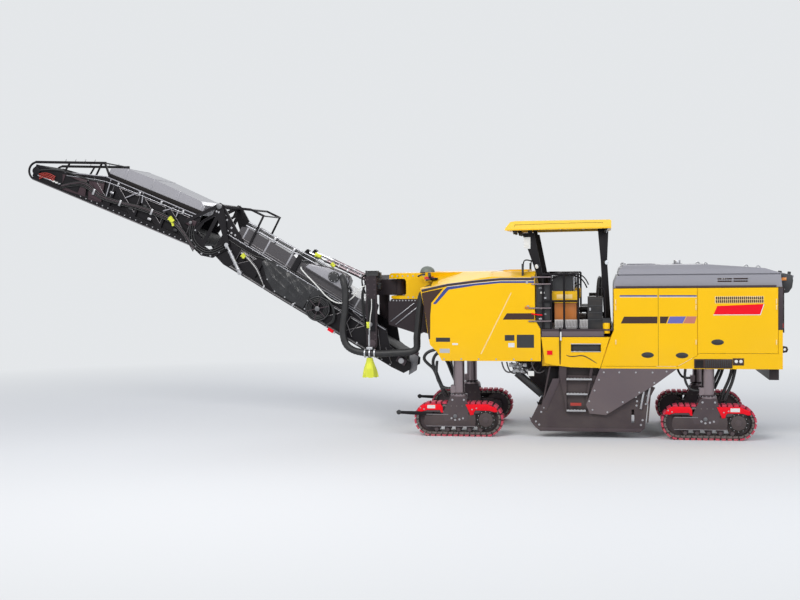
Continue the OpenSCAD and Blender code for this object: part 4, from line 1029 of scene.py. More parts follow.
for x, top in ((-360, -128), (-900, -42), (-1500, -14), (-2100, -26)):
    ribs.append(cut("cover_rib", [(x, -338), (x, top), (x - 30, top + 2), (x - 30, -338)], -COVER - 6,
        COVER + 6, cover_grey, 2, O))
ribs += [
    cut("cover_lip", [(-2470, -339), (-2470, -325), (-312, -325), (-312, -339)], -COVER - 12, -COVER,
        cover_grey, 2, O),
    cut("cover_lip_far", [(-2470, -339), (-2470, -325), (-312, -325), (-312, -339)], COVER, COVER + 12,
        cover_grey, 2, O),
]
join("cover_seams_outer", ribs, "outer")
print("covers seamed")

# %% Outer section: truss edges, pipes and head
head_kit = []
for s in (-1, 1):
    for k, (z, r) in enumerate(((-385, 13), (-418, 10))):
        head_kit.append(pipe("side_pipe", [O(-380, s * (SIDE + 12), z + 20), O(-700, s * (SIDE + 14), z),
            O(-2300, s * (SIDE + 14), z), O(-2700, s * (SIDE + 14), z - 60),
            O(-3300, s * (SIDE + 14), z - 225)], r, pipe_steel if k else frame_dark))
    for x in (-700, -1200, -1700, -2200):
        head_kit.append(block("side_clamp", (x, s * SIDE, -440), (x + 40, s * (SIDE + 26), -360), zinc, 3, O))
    head_kit += [
        bolt_row("chord_bolts", [O(-400 - k * 130, s * SIDE, -930) for k in range(20)]
            + [O(-2720 - k * 110, s * SIDE, -520 - k * 36) for k in range(6)], (0, s, 0), 8, zinc),
        block("head_box", (-3330, s * SIDE, -880), (-2950, s * (SIDE + 12), -640), frame_dark,
            6, O, inset=24),
        round_bar("head_bearing", O(-3960, s * SIDE, -800), O(-3960, s * (SIDE + 34), -800), 78,
            frame_dark, 32, 10, 4),
        bolt_row("bearing_bolts", [O(-3960 + 60 * math.cos(a), s * (SIDE + 30), -800 + 60 * math.sin(a))
            for a in [k * math.pi / 3 for k in range(6)]], (0, s, 0), 9, zinc),
        round_bar("belt_tensioner", O(-3900, s * (SIDE + 14), -870), O(-3560, s * (SIDE + 14), -860),
            15, zinc, 14, 3),
    ]
    for x in (-3050, -2850, -3250, -3450):
        t = (x + 3990) / 1360
        head_kit.append(round_bar("stand_off", O(x, s * (SIDE - 24), -610 + t * 510 + 20),
            O(x, s * (SIDE - 24), -610 + t * 510 + 75), 8, zinc, 8))
    head_kit.append(pipe("head_hoses", [O(-2500, s * (SIDE + 10), -480), O(-2900, s * (SIDE + 18), -560),
        O(-3300, s * (SIDE + 22), -560), O(-3650, s * (SIDE + 20), -640), O(-3900, s * (SIDE + 24), -760)],
        16, hose_rubber))
join("outer_trim", head_kit, "outer")
print("outer section piped")

# %% [markdown]
# The swinging plates at the fold carry pipes that bend round their lower corner, so that the
# hoses keep their length as the section folds.

# %% Fold plates: pins, pipes and bolts
fold_trim = []
for s in (-1, 1):
    for k in range(3):
        r = 14 - k
        d = 40 * k
        fold_trim.append(pipe("belly_pipe", [O(-420 + d, s * (SIDE + 42), -560),
            O(-380 + d, s * (SIDE + 44), -820 + d), O(-240 + d / 2, s * (SIDE + 44), -940 + d),
            O(10, s * (SIDE + 44), -1010 + d), O(230 - d / 2, s * (SIDE + 44), -960 + d),
            O(420 - d, s * (SIDE + 44), -740 + d / 2)], r, hose_rubber))
    fold_trim += [
        round_bar("apex_pin", O(0, s * (SIDE + 30), 0), O(0, s * (SIDE + 52), 0), 52, pin_steel, 32, 8, 3),
        bolt_row("plate_bolts", [O(a, s * (SIDE + 30), b) for a, b in ((-300, -640), (-330, -760),
            (-300, -860), (-180, -950), (0, -1030), (190, -1000), (330, -860), (440, -720), (440, -640),
            (30, -120), (-20, -120))], (0, s, 0), 13, zinc),
        cut("plate_edge", [(-60, 20), (-70, -200), (-210, -370), (-345, -600), (-370, -840), (-350, -838),
            (-326, -604), (-194, -378), (-52, -208), (-40, 20)], s * (SIDE + 30), s * (SIDE + 44),
            frame_dark, 2, O),
        cut("plate_edge_b", [(60, 30), (170, -110), (300, -350), (500, -650), (482, -650), (284, -356),
            (152, -122), (44, 18)], s * (SIDE + 30), s * (SIDE + 44), frame_dark, 2, O),
    ]
join("fold_trim", fold_trim, "outer")
print("fold plates done")

# %% Slew bracket, lift cylinders and fold cylinders
sl = []
for s in (-1, 1):
    sl += [
        round_bar("luff_pin", M(LUFF_X, s * 700, LUFF_Z), M(LUFF_X, s * 716, LUFF_Z), 74, leg_grey, 32, 8, 3),
        bolt_row("mast_bolts", [M(x, s * 700, z) for x in (-4130, -4000)
            for z in (1800, 1900, 2680, 2780, 2880, 2980)], (0, s, 0), 12, leg_grey),
        cut("mast_panel", [(-4140, 1960), (-3990, 1960), (-3990, 2600), (-4140, 2600)], s * 700,
            s * 708, frame_dark, 4),
    ]
sl += [
    pipe("mast_hose_a", [M(-4185, -640, 2900), M(-4230, -650, 2820), M(-4240, -660, 2600),
        M(-4225, -655, 2300), M(-4200, -650, 2000), M(-4150, -650, 1850)], 16, hose_rubber),
    pipe("mast_hose_b", [M(-4180, -672, 2880), M(-4250, -680, 2800), M(-4262, -684, 2560),
        M(-4240, -684, 2280), M(-4200, -676, 2040)], 14, hose_rubber),
    block("knuckle_box", (-4160, -560, 3052), (-3980, -300, 3150), black_plastic, 12, inset=20),
    lamp("work_lamp", M(-4200, -500, 3095), (-1, -0.2, 0.1), 70),
]
join("slew_trim", sl, "slew")
cyl = []
base, eye = M(-4220, 310, 2970), L(-2120, 310, 850)
along = (eye - base).normalized()
for s in (1, -1):
    b = Vector((base.x, s * base.y, base.z))
    e = Vector((along.x, s * along.y, along.z))
    for d0, d1, r, finish in ((0.13, 0.17, 45, zinc), (0.90, 0.955, 47, zinc), (0.42, 0.45, 44, silver),
        (0.62, 0.65, 44, silver)):
        cyl.append(round_bar("band", b + e * d0, b + e * d1, r, finish, 28, 0, 2))
    side = Vector((0, s, 0))
    up = e.cross(side)
    cyl.append(pipe("feed", [b + e * 0.15 + up * 0.05, b + e * 0.2 + up * 0.062, b + e * 0.8 + up * 0.062,
        b + e * 0.9 + up * 0.05], 9, pipe_steel))
join("lift_cylinder_trim", cyl, "lift_barrel")
cyl = []
fb, fe = L(-3040, 675, -170), M(APEX_X + 150, 675, APEX_Z - 780)
e = (fe - fb).normalized()
for s in (1, -1):
    b, d = Vector((fb.x, s * fb.y, fb.z)), Vector((e.x, s * e.y, e.z))
    for d0, d1, r, finish in ((0.06, 0.1, 41, zinc), (0.45, 0.487, 43, zinc), (0.2, 0.22, 39, silver),
        (0.34, 0.36, 39, silver)):
        cyl.append(round_bar("band", b + d * d0, b + d * d1, r, finish, 28, 0, 2))
join("fold_cylinder_trim", cyl, "fold_barrel")
print("conveyor dressed")

# %% [markdown]
# From a step away a lattice reads by its edges: each window has a bright rolled rim, and light
# braces cross the upper half of the outer section. The rims follow the very corners of the
# solid's windows, so they sit on the steel wherever the section swings.

# %% Rims and braces
def rims(corners, y, r, finish, at):
    return [round_bar("rim", at(*a[:1], y, a[1]), at(*b[:1], y, b[1]), r, finish, 8, 0, 0)
            for a, b in zip(corners, corners[1:] + corners[:1])]


edge_steel = steel("edge_steel", (0.2, 0.19, 0.2), 0.38)
panel_brown = paint("panel_brown", (0.045, 0.026, 0.032), 0.4, 0.15, 0.2)
made = []
for s in (-1, 1):
    for i in range(4):
        x = -440 - 600 * i
        made += rims([(x - 20, -450), (x - 20, -800), (x - 500, -450)], s * (SIDE + 1), 7, edge_steel, O)
        made += rims([(x - 90, -875), (x - 575, -875), (x - 575, -520)], s * (SIDE + 1), 7, frame_dark, O)
    for a, b in (((-2371, -345), (-2336, -798)), ((-1618, -345), (-1573, -559)), ((-782, -345), (-787, -542)),
        ((-1679, -345), (-1947, -599)), ((-837, -345), (-1087, -539))):
        made.append(round_bar("brace", O(a[0], s * (SIDE + 9), a[1]), O(b[0], s * (SIDE + 9), b[1]), 12,
            cover_grey, 12, 0, 0))
    made += [
        cut("head_panel", [(-3400, -650), (-2860, -545), (-2770, -900), (-3290, -945)], s * SIDE,
            s * (SIDE + 7), panel_brown, 3, O),
        cut("head_panel_b", [(-2820, -525), (-2490, -420), (-2400, -880), (-2690, -925)], s * SIDE,
            s * (SIDE + 5), panel_brown, 3, O),
        cut("top_rail", [(-2490, -352), (-2490, -334), (-300, -334), (-300, -352)], s * SIDE, s * (SIDE + 12),
            cover_grey, 2, O),
        cut("slope_rail", [(-3370, -606), (-3366, -588), (-2486, -330), (-2480, -348)], s * SIDE,
            s * (SIDE + 12), cover_grey, 2, O),
        cut("cover_foot", [(-2470, -336), (-2470, -258), (-320, -236), (-320, -336)], s * COVER,
            s * (COVER + 14), gap_black, 2, O),
        cut("low_chord", [(-3990, -985), (-3984, -1003), (-2900, -995), (-300, -976), (-300, -958),
            (-2900, -977)], s * SIDE, s * (SIDE + 10), edge_steel, 2, O),
    ]
    for k, (x, z) in enumerate(((-2250, -600), (-1760, -760), (-1480, -590), (-1300, -800),
        (-960, -620), (-700, -800))):
        made.append(block("valve", (x - 40, s * (SIDE - 8), z - 22), (x + 40, s * (SIDE + 20), z + 22),
            zinc if k % 3 == 0 else black_plastic, 5, O))
join("truss_outer", made, "outer")
bundle = []
ROUTE = [(-3335, -866), (-3087, -694), (-2842, -614), (-2616, -690), (-2407, -739), (-1875, -679),
    (-1658, -637), (-1098, -588), (-781, -613), (-452, -763), (-175, -978)]
for s in (-1, 1):
    for k in range(4):
        bundle.append(pipe("bundle_hose",
            [O(x, s * (SIDE + 20 + 6 * (k % 2) + (24 if x > -500 else 0)),
                z - 26 * k + 8 * math.sin(x / 260 + k)) for x, z in ROUTE],
            13 - k, hose_rubber if k != 1 else leg_grey))
    for x, z in ((-2616, -690), (-2000, -690), (-1300, -605)):
        bundle.append(block("bundle_clamp", (x - 22, s * (SIDE + 2), z - 105),
            (x + 22, s * (SIDE + 42), z + 22), zinc, 5, O))
bundle += [
    round_bar("fold_pin", O(-446, -SIDE, -532), O(-446, -SIDE - 46, -532), 30, pin_steel, 24, 6, 2),
    block("fold_pin_plate", (-560, -SIDE - 12, -600), (-340, -SIDE, -470), panel_brown, 5, O),
]
for k in range(4):
    bundle.append(pipe("red_hose", [O(-3880 + 14 * k, -SIDE - 26, -838 - 30 * k),
        O(-3790, -SIDE - 40, -775 - 30 * k), O(-3640, -SIDE - 42, -738 - 32 * k),
        O(-3520, -SIDE - 30, -756 - 30 * k)], 9, red_rubber))
for k in range(3):
    bundle.append(round_bar("hose_end", O(-3540 + 66 * k, -SIDE - 26, -868),
        O(-3490 + 66 * k, -SIDE - 28, -850), 16, white_rubber if k < 2 else zinc, 14, 2, 1))
join("rigging_outer", bundle, "outer")
print("outer lattice rigged")

# %% The lower section's rims, reel and loops
made = []
for s in (-1, 1):
    for i in ((0, 4, 5) if s < 0 else range(6)):
        x = -3300 + i * 520
        made += rims([(x + 40, -120), (x + 40, 230), (x + 400, 230)], s * (SIDE + 1), 7, edge_steel, L)
    made.append(cut("upper_line", [(-3600, 428), (-3600, 442), (-470, 442), (-470, 428)], s * COVER,
        s * (COVER + 16), edge_steel, 2, L))
    for a, b in (((-680, 340), (-120, 236)), ((-494, -60), (-420, 330)), ((-738, 142), (-436, -110)),
        ((-351, 281), (30, 177)), ((-60, 300), (250, -120)), ((260, 60), (520, -150))):
        made.append(round_bar("brace", L(a[0], s * (SIDE + 8), a[1]), L(b[0], s * (SIDE + 8), b[1]), 8,
            edge_steel, 10, 0, 0))
    for k in range(3):
        made.append(pipe("belly_run", [L(-3300, s * (SIDE + 16), -150 - 20 * k),
            L(-2700, s * (SIDE + 20), -176 - 14 * k), L(-1700, s * (SIDE + 18), -170 - 18 * k),
            L(-1000, s * (SIDE + 24), -160 - 16 * k), L(-300, s * (SIDE + 16), -166 - 16 * k),
            L(300, s * (SIDE + 14), -150 - 14 * k)], 11, hose_rubber if k != 1 else edge_steel))
    for x in (-3100, -2500, -1800, -1000, -300, 200):
        made.append(block("belly_clamp", (x, s * SIDE, -214), (x + 34, s * (SIDE + 34), -140), zinc, 4, L))
    made += [
        block("bearing_block", (560, s * SIDE, -60), (760, s * (SIDE + 26), 60), leg_grey, 8, L, inset=22),
        round_bar("bearing", L(660, s * (SIDE + 26), 0), L(660, s * (SIDE + 44), 0), 52, zinc, 28, 5, 2),
    ]
join("truss_lower", made, "lower")
reel = []
centre = L(-1305, -646, 22)
for big, small, finish in ((0.236, 0.017, black_plastic), (0.196, 0.014, hose_rubber),
    (0.166, 0.014, hose_rubber), (0.136, 0.013, hose_rubber)):
    clear()
    bpy.ops.mesh.primitive_torus_add(major_radius=big, minor_radius=small, major_segments=48,
        minor_segments=8, location=centre, rotation=(math.pi / 2, 0, 0))
    reel.append(keep("coil", finish, 0, 60))
for k in range(6):
    a = k * math.pi / 3 + 0.2
    reel.append(round_bar("spoke", centre + Vector((0.04 * math.cos(a), -0.012, 0.04 * math.sin(a))),
        centre + Vector((0.23 * math.cos(a), -0.006, 0.23 * math.sin(a))), 9, leg_grey, 10, 0, 0))
reel.append(round_bar("reel_hub", centre, centre + Vector((0, -0.034, 0)), 46, pin_steel, 28, 6, 2))
for k in range(2):
    reel.append(pipe("reel_hose", [L(-1290 + 20 * k, -655, 262), L(-1180, -668 - 12 * k, 268 + 20 * k),
        L(-1050 + 20 * k, -670, 215), L(-925 + 24 * k, -668, 60), L(-915 + 24 * k, -660, -80),
        L(-1010, -640, -186)], 19 - 4 * k, hose_rubber))
reel += [
    block("red_valve", (-925, -SIDE - 52, -246), (-800, -SIDE, -184), red, 10, L, inset=14),
    round_bar("valve_knob", L(-790, -SIDE - 30, -215), L(-756, -SIDE - 30, -215), 16, zinc, 14, 3, 1),
]
join("reel_trim", reel, "lower")
pale = [pipe("pale_cable", [L(-3230, -SIDE - 20, 160 + 12 * k), L(-3090, -SIDE - 34, 148 + 14 * k),
    L(-2930, -SIDE - 30, 96 + 12 * k), L(-2780, -SIDE - 24, 40 + 12 * k), L(-2600, -SIDE - 20, -90 + 8 * k),
    L(-2470, -SIDE - 20, -172)], 9, (hose_rubber, edge_steel, white_rubber)[k % 3]) for k in range(5)]
join("cable_bundle", pale, "lower")
flap_side = [
    cut("flap", [(-3340, 1541), (-3160, 1542), (-3172, 1400), (-3205, 1186), (-3366, 1086), (-3348, 1300)],
        -520, -528, grey_plastic, 3),
    block("flap_bar", (690, -540, 235), (880, -500, 300), leg_grey, 5, L),
]
join("end_flap", flap_side, "lower")
print("lower section rigged")

# %% [markdown]
# The suction duct hangs in a bright clamp on the mast, and hoses cross from the machine to the
# conveyor at the knuckle, in loops long enough for the slewing.

# %% Clamp, strap and knuckle
DUCT_Y, CLAMP_Z = -785, 1538
knee = []
for x in (-4196, -4100, -4004):
    knee.append(round_bar("clamp_band", M(x, DUCT_Y, CLAMP_Z), M(x + 26, DUCT_Y, CLAMP_Z), 86,
        silver, 36, 0, 3))
knee += [
    block("clamp_saddle", (-4150, -830, 1612), (-4030, -740, 1664), silver, 8),
    block("strap", (-4132, -722, 1650), (-4108, -716, 2010), silver, 2),
    block("strap_edge", (-4104, -721, 1650), (-4096, -716, 2010), zinc, 1),
]
for z0, z1 in ((2790, 2905), (2995, 3118)):
    knee.append(block("knuckle", (-4030, -565, z0), (-3905, -428, z1), black_plastic, 16, inset=20))
knee.append(block("knuckle_lid", (-4165, -690, 3052), (-3930, -440, 3128), black_plastic, 16, inset=24))
for k in range(4):
    knee.append(pipe("knuckle_hose", [M(-4165, -640 + 36 * k, 3080), M(-4235, -640 + 34 * k, 3070),
        M(-4268 - 6 * k, -640 + 30 * k, 2980), M(-4250, -646 + 26 * k, 2820), M(-4200, -650 + 22 * k, 2700)],
        12, hose_rubber))
knee += [
    round_bar("mast_pin", M(-4085, -700, 2100), M(-4085, -724, 2100), 40, pin_steel, 24, 5, 2),
    pipe("mast_cable", [M(-4120, -708, 2650), M(-4128, -716, 2500), M(-4126, -718, 2300),
        M(-4134, -720, 2150), M(-4130, -720, 2010), M(-4128, -722, 1900)], 11, hose_rubber),
    pipe("mast_cable_b", [M(-4060, -708, 2600), M(-4050, -716, 2450), M(-4082, -720, 2280),
        M(-4096, -724, 2120), M(-4098, -722, 1990)], 9, white_rubber),
]
join("knuckle_trim", knee, "slew")
print("knuckle", len(knee), "pieces")

# %% [markdown]
# The suction duct is a ribbed hose that bridges two joints. It is drawn along the solid's own line,
# every second ring drawn in for the ribs, in two lengths that meet in the clamp. The legs' hoses
# and the white hose are drawn along their own lines as smooth tubes.

# %% Duct, leg hoses and white hose
def even(points, step):
    """The quadratic curve that the solid follows, as evenly spaced points."""
    pts = [Vector(p) for p in points]
    for turn in range(4):
        cut_corners = [q for a, b in zip(pts, pts[1:]) for q in (a.lerp(b, 0.25), a.lerp(b, 0.75))]
        pts = [pts[0], *cut_corners, pts[-1]]
    out, gone = [pts[0]], 0.0
    for a, b in zip(pts, pts[1:]):
        gone += (b - a).length
        if gone >= step:
            out.append(b)
            gone = 0.0
    return out + [pts[-1]]


def ribbed(name, points, r, finish, depth):
    line = even(points, 0.018)
    tube = pipe(name, line, r, finish, 24, False)
    per_ring = len(tube.data.vertices) // len(line)
    for i in range(1, len(line) - 1, 2):
        for v in tube.data.vertices[i * per_ring:(i + 1) * per_ring]:
            v.co = v.co.lerp(line[i], depth / r)
    return tube


duct_line = [M(*p) for p in ((-4630, -668, 3030), (-4629, -720, 3028), (-4600, DUCT_Y, 2960),
    (-4560, DUCT_Y, 2780), (-4570, DUCT_Y, 2400), (-4640, DUCT_Y, 2000), (-4590, DUCT_Y, 1720),
    (-4430, DUCT_Y, 1590), (-4200, DUCT_Y, 1545), (-3900, DUCT_Y, 1530), (-3600, DUCT_Y, 1545),
    (-3300, DUCT_Y, 1560), (-3180, DUCT_Y, 1600), (-3150, DUCT_Y, 1660), (-3150, DUCT_Y, 1700),
    (-3150, DUCT_Y, 1749.5))]
middle = next(i for i, p in enumerate(duct_line) if p == M(-4200, DUCT_Y, 1545))
seam_at = M(-4090, DUCT_Y, 1539.5)
duct = ribbed("ribbed_duct", [seam_at - Vector((0.004, 0, 0)), *duct_line[middle + 1:]], 70, duct_rubber, 4)
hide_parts("suction_duct")
tuple(M(-3960, DUCT_Y, 1535))
tuple(M(-3150, DUCT_Y, 1640))
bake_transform(duct)
riser = ribbed("ribbed_riser", [*duct_line[:middle + 1], seam_at + Vector((0.004, 0, 0))], 70, duct_rubber, 4)
tuple(M(-4560, DUCT_Y, 1660))
tuple(M(-4560, DUCT_Y, 2900))
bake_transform(riser)
print("duct", len(duct.data.polygons) + len(riser.data.polygons), "faces")
white_line = [M(*p) for p in ((-5494, -575.5, 3235), (-5494, -600, 3235), (-5494, -640, 3235),
    (-5490, -676, 3222), (-5430, -692, 3140), (-5150, -692, 2860), (-4950, -690, 2620), (-4700, -686, 2490),
    (-4450, -686, 2600), (-4290, -680, 2830), (-4170.5, -675, 2860))]
white_tube = pipe("white_tube", even(white_line, 0.03), 13, white_rubber, 16, False)
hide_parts("white_hose")
tuple(M(-4300, -680, 2830))
tuple(M(-5430, -692, 3140))
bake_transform(white_tube)
STRANDS = {
    "front": [
        [(-2700, 1640), (-2930, 1585), (-3020, 1450), (-2912, 1338), (-2804, 1255), (-2723, 1035), (-2642, 842),
            (-2576, 700)],
        [(-2690, 1590), (-2800, 1500), (-2830, 1340), (-2760, 1200), (-2690, 1010), (-2610, 840), (-2540, 710)],
    ],
    "rear": [
        [(2740, 1420), (2745, 1300), (2727, 1200), (2680, 1050), (2600, 880), (2549, 700)],
        [(2790, 1420), (2800, 1290), (2781, 1180), (2740, 1020), (2670, 860), (2600, 700)],
    ],
}
for end, strands in STRANDS.items():
    for side, s in (("left", -1), ("right", 1)):
        for k, line in enumerate(strands):
            strand = pipe(f"leg_bundle_{end}_{side}_{k}", even([M(x, s * (900 + 24 * k), z) for x, z in line],
                0.03), 30, hose_rubber, 16, False)
            tuple(M(line[0][0], s * 900, line[0][1] - 40))
            tuple(M(line[-1][0], s * 900, line[-1][1] + 30))
            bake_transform(strand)
print("hoses across the joints")

# %% [markdown]
# The operators' stand is open on both sides. Each side has a yellow console, a black cabinet and
# a light step behind a guard rail. The seats are the only padded pieces on the machine. A
# cushion starts as a box cut into a grid, a little too small; a cloth simulation with pressure
# inside blows it up against its own skin, so that its sides pull in between the corners, and
# the seams are pressed in afterwards.

# %% Seats
VOXEL, STEPS, SWELL = 0.009, 20, 0.008


def cushion(name, low, high, crown, lean=0.0, seams=2):
    clear()
    size = [b - a for a, b in zip(low, high)]
    centre = [(a + b) / 2 for a, b in zip(low, high)]
    bpy.ops.mesh.primitive_cube_add(size=1)
    o = bpy.context.object
    edit()
    bpy.ops.mesh.subdivide(number_cuts=9)
    leave()
    for v in o.data.vertices:
        u = [2 * c for c in v.co]
        full = [max(0.0, math.cos(c * math.pi / 2)) ** 0.6 for c in u]
        p = [centre[k] + u[k] * (size[k] / 2 - crown + crown * full[k - 2] * full[k - 1]) for k in range(3)]
        v.co = M(*p)
    finish_with(o, "REMESH", mode="VOXEL", voxel_size=VOXEL)
    before = [v.co.copy() for v in o.data.vertices]
    m = o.modifiers.new("skin", "CLOTH")
    m.settings.use_pressure, m.settings.uniform_pressure_force = True, 4
    m.settings.effector_weights.gravity = 0
    m.point_cache.frame_end = STEPS
    for frame_no in range(1, STEPS + 1):
        bpy.context.scene.frame_set(frame_no)
    bpy.ops.object.modifier_apply(modifier=m.name)
    bpy.context.scene.frame_set(1)
    for v, rest in zip(o.data.vertices, before):
        step = v.co - rest
        if step.length > SWELL:
            v.co = rest + step.normalized() * SWELL
    for v in o.data.vertices:
        across = 2 * (v.co.y * 1000 - centre[1]) / size[1]
        near_seam = min(abs(across - (-1 + 2 * (n + 1) / (seams + 1))) for n in range(seams))
        dip = 0.006 * math.exp(-(near_seam / 0.035) ** 2)
        middle = M(*centre)
        for k in (0, 2):
            v.co[k] -= dip * (1 if v.co[k] > middle[k] else -1) * (abs(v.co[k] - middle[k]) > size[k] / 2600)
        v.co.x += lean * (v.co.z - low[2] / 1000)
    finish_with(o, "SUBSURF", levels=1, render_levels=1)
    o = keep(name, seat_hide, 0, 80, body="chassis")
    return o


for side, s in (("left", -1), ("right", 1)):
    y0, y1 = sorted((s * 235, s * 665))
    cushion(f"seat_pad_{side}", (-50, y0 + 5, 2340), (257, y1 - 5, 2430), 12)
    cushion(f"seat_back_{side}", (275, y0 + 10, 2455), (352, y1 - 10, 3000), 14, 0.06)
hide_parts("seats")
shells = []
for s in (-1, 1):
    shells += [
        cut("seat_shell", [(362, 2420), (395, 2400), (412, 2980), (398, 3006), (380, 2990)], s * 250, s * 650,
            black_plastic, 6),
        block("seat_base", (90, s * 345, 2040.3), (230, s * 555, 2320), black_plastic, 10, inset=16),
        cut("seat_pan", [(-40, 2322), (-40, 2336), (300, 2336), (380, 2420), (396, 2404), (330, 2322)],
            s * 250, s * 650, black_plastic, 4),
        block("seat_rail", (60, s * 360, 2318), (260, s * 540, 2324), zinc, 2),
    ]
join("seat_shells", shells, "chassis")
print("seats done")

# %% [markdown]
# The console is a yellow lid over an orange-brown box; the screen and levers stand on top of it.
# Its finish changes colour with height, because it is one CAD solid.

# %% Console, cabinet, screens and levers
desk = paint("console_paint", YELLOW)
is_low = desk.z < 2.519
is_cab = desk.x > (SHIFT + 100) / 1000
tone = desk.blend(is_cab, desk.blend(is_low, YELLOW, (0.50, 0.16, 0.03)), (0.02, 0.02, 0.022))
desk.put("Base Color", desk.blend(desk.noise(3, 4).ramp(0.4, 0.8) * 0.2, tone, (0.25, 0.2, 0.15)))
dress(desk, "consoles")
tread_silver = steel("tread_silver", (0.42, 0.41, 0.4), 0.4)
parts = []
DESK_Y = 1120
parts += [
    block("screen", (-520, -1105, 2742), (-150, -860, 3030), black_plastic, 14, inset=22),
    block("screen_lid", (-490, -1120, 3056), (-30, -800, 3080), black_plastic, 8),
    block("screen_neck", (-420, -1040, 3028), (-200, -880, 3058), black_plastic, 6),
    block("screen_arm", (-150, -1000, 2742), (-110, -900, 3056), zinc, 6),
    cut("console_seam", [(-492, 2516), (-492, 2524), (-70, 2524), (-70, 2516)], -DESK_Y - 1,
        -DESK_Y - 4, gap_black, 0),
    block("console_blank", (-440, -DESK_Y - 4, 2600), (-150, -DESK_Y - 0.5, 2680), facet_gold, 3),
]
for k, x in enumerate((-420, -330, -240, -150)):
    parts.append(round_bar("lever", M(x, -820, 2740), M(x + 14, -812, 2830), 9, zinc, 10))
    clear()
    bpy.ops.mesh.primitive_uv_sphere_add(segments=16, ring_count=10, radius=0.02,
        location=M(x + 15, -811, 2842))
    for v in bpy.context.object.data.vertices:
        v.co.z *= 1.35
    parts.append(keep("lever_knob", black_plastic, 0, 60))
parts.append(block("step_grid", (-475, -1215, 2041), (134, -1130, 2080), grey_plastic, 3))
for k in range(15):
    parts.append(block("grid_bar", (-465 + k * 40, -1222, 2080), (-445 + k * 40, -1130, 2092), zinc, 1.5))
parts.append(block("step_riser", (-475, -1216, 2041), (134, -1196, 2215), tread_silver, 3))
for k in range(22):
    parts.append(cut("tread_mark", [(-465 + k * 27, 2060), (-457 + k * 27, 2060), (-441 + k * 27, 2198),
        (-449 + k * 27, 2198)], -1216, -1219, skirt_grey, 0))
for z in (2200, 2330, 2460, 2590):
    parts.append(block("cabinet_rib", (140, -1186, z), (400, -1180.5, z + 16), black_plastic, 1.5))
parts += [
    block("cabinet_lock", (160, -1192, 2380), (190, -1180.5, 2430), zinc, 2),
    pipe("cabinet_rail", [M(300, -1180, 2640), M(300, -1190, 2760), M(330, -1190, 2800), M(420, -1190, 2800),
        M(450, -1190, 2700), M(455, -1190, 2060)], 14, frame_dark),
]
sides(join("console_trim", parts, "chassis"), "chassis")
wheel = []
clear()
bpy.ops.mesh.primitive_torus_add(major_radius=0.15, minor_radius=0.013, major_segments=40, minor_segments=10,
    location=M(-150, -640, 2790), rotation=(0, math.radians(-28), 0))
wheel += [
    keep("rim", black_plastic, 0, 60),
    round_bar("wheel_post", M(-260, -640, 2620), M(-152, -640, 2786), 22, black_plastic, 16, 4, 3),
]
for a in (0, 2.1, 4.2):
    c, d = M(-150, -640, 2790), math.radians(-28)
    tip = c + Vector((math.cos(a) * math.cos(d), math.sin(a), -math.cos(a) * math.sin(d))) * 0.147
    wheel.append(round_bar("spoke", c, tip, 8, zinc, 10))
wheel += [
    block("wheel_desk", (-420, -770, 2560), (-230, -480, 2660), black_plastic, 16, inset=20),
    block("wheel_column", (-350, -690, 2040.3), (-280, -590, 2560), black_plastic, 10),
]
join("steering_left", wheel, "chassis")
print("consoles done")

# %% [markdown]
# The canopy's panel has a shallow pressed rim, lamps under its corners and a liner inside. The
# mirror arms and the guard rails round the stand are bent tube.

# %% Canopy, lamps, mirrors, rails
top = [
    cut("canopy_rim", [(-1362, 3905), (-1340, 3890), (560, 3908), (560, 3922), (-1340, 3904)], -1180,
        -1186, yellow, 1.5),
    cut("canopy_line", [(-1210, 3950), (-1206, 3992), (250, 4015), (420, 4004), (420, 3999), (250, 4010),
        (-1202, 3987), (-1205, 3950)], -1180, -1183, gap_black, 0),
]
sides(join("canopy_edge", top, "chassis"), "chassis")
for k, (x, y, z, d) in enumerate(((-1240, -1000, 3868, (-1, -0.15, -0.35)),
    (-1240, -500, 3868, (-1, 0, -0.35)), (480, -1000, 3868, (1, -0.15, -0.35)))):
    sides(lamp(f"canopy_lamp_{k}", M(x, y, z), d, 62, body="chassis"), "chassis")
liner = [block("liner", (-1290, -1110, 4000), (500, 1110, 4012), grey_plastic, 4, inset=60)]
for x in (-900, -450, 0):
    liner.append(block("canopy_beam", (x, -1118, 3925), (x + 40, 1118, 4000), frame_dark, 5))
join("canopy_liner", liner, "chassis")
side_rail = [
    pipe("mirror_arm", [M(-880, -962, 3300), M(-960, -1060, 3330), M(-1040, -1130, 3330),
        M(-1060, -1150, 3240), M(-1060, -1150, 3060)], 12, frame_dark),
    block("mirror", (-1085, -1205, 3020), (-1050, -1085, 3260), black_plastic, 14, inset=12),
    block("post_plate", (-1000, -975, 3540), (-930, -961, 3760), white, 3),
    lamp("post_lamp", M(-800, -1010, 3210), (-0.6, -0.8, -0.2), 48),
    lamp("rear_post_lamp", M(470, -1010, 3275), (0.6, -0.8, -0.2), 48),
    pipe("grab_rail", [M(-690, -1220, 2300), M(-820, -1262, 2310), M(-900, -1262, 2330),
        M(-900, -1230, 2330)], 13, red),
]
for x in (-300, -40):
    side_rail.append(round_bar("rail_foot", M(x, -1220, 2040.3), M(x, -1220, 2060), 34, frame_dark, 20, 0, 2))
side_rail.append(block("control_cabinet", (-815, -1196, 2046), (-560, -965, 2890),
    black_plastic, 10, inset=18))
for k, (z, finish) in enumerate(((2790, grey_plastic), (2700, white), (2600, zinc), (2520, black_rubber),
    (2410, white), (2300, grey_plastic), (2210, zinc))):
    side_rail.append(block("cabinet_plate", (-770 + 30 * (k % 3), -1203, z),
        (-690 + 30 * (k % 3), -1190, z + 34), finish, 3))
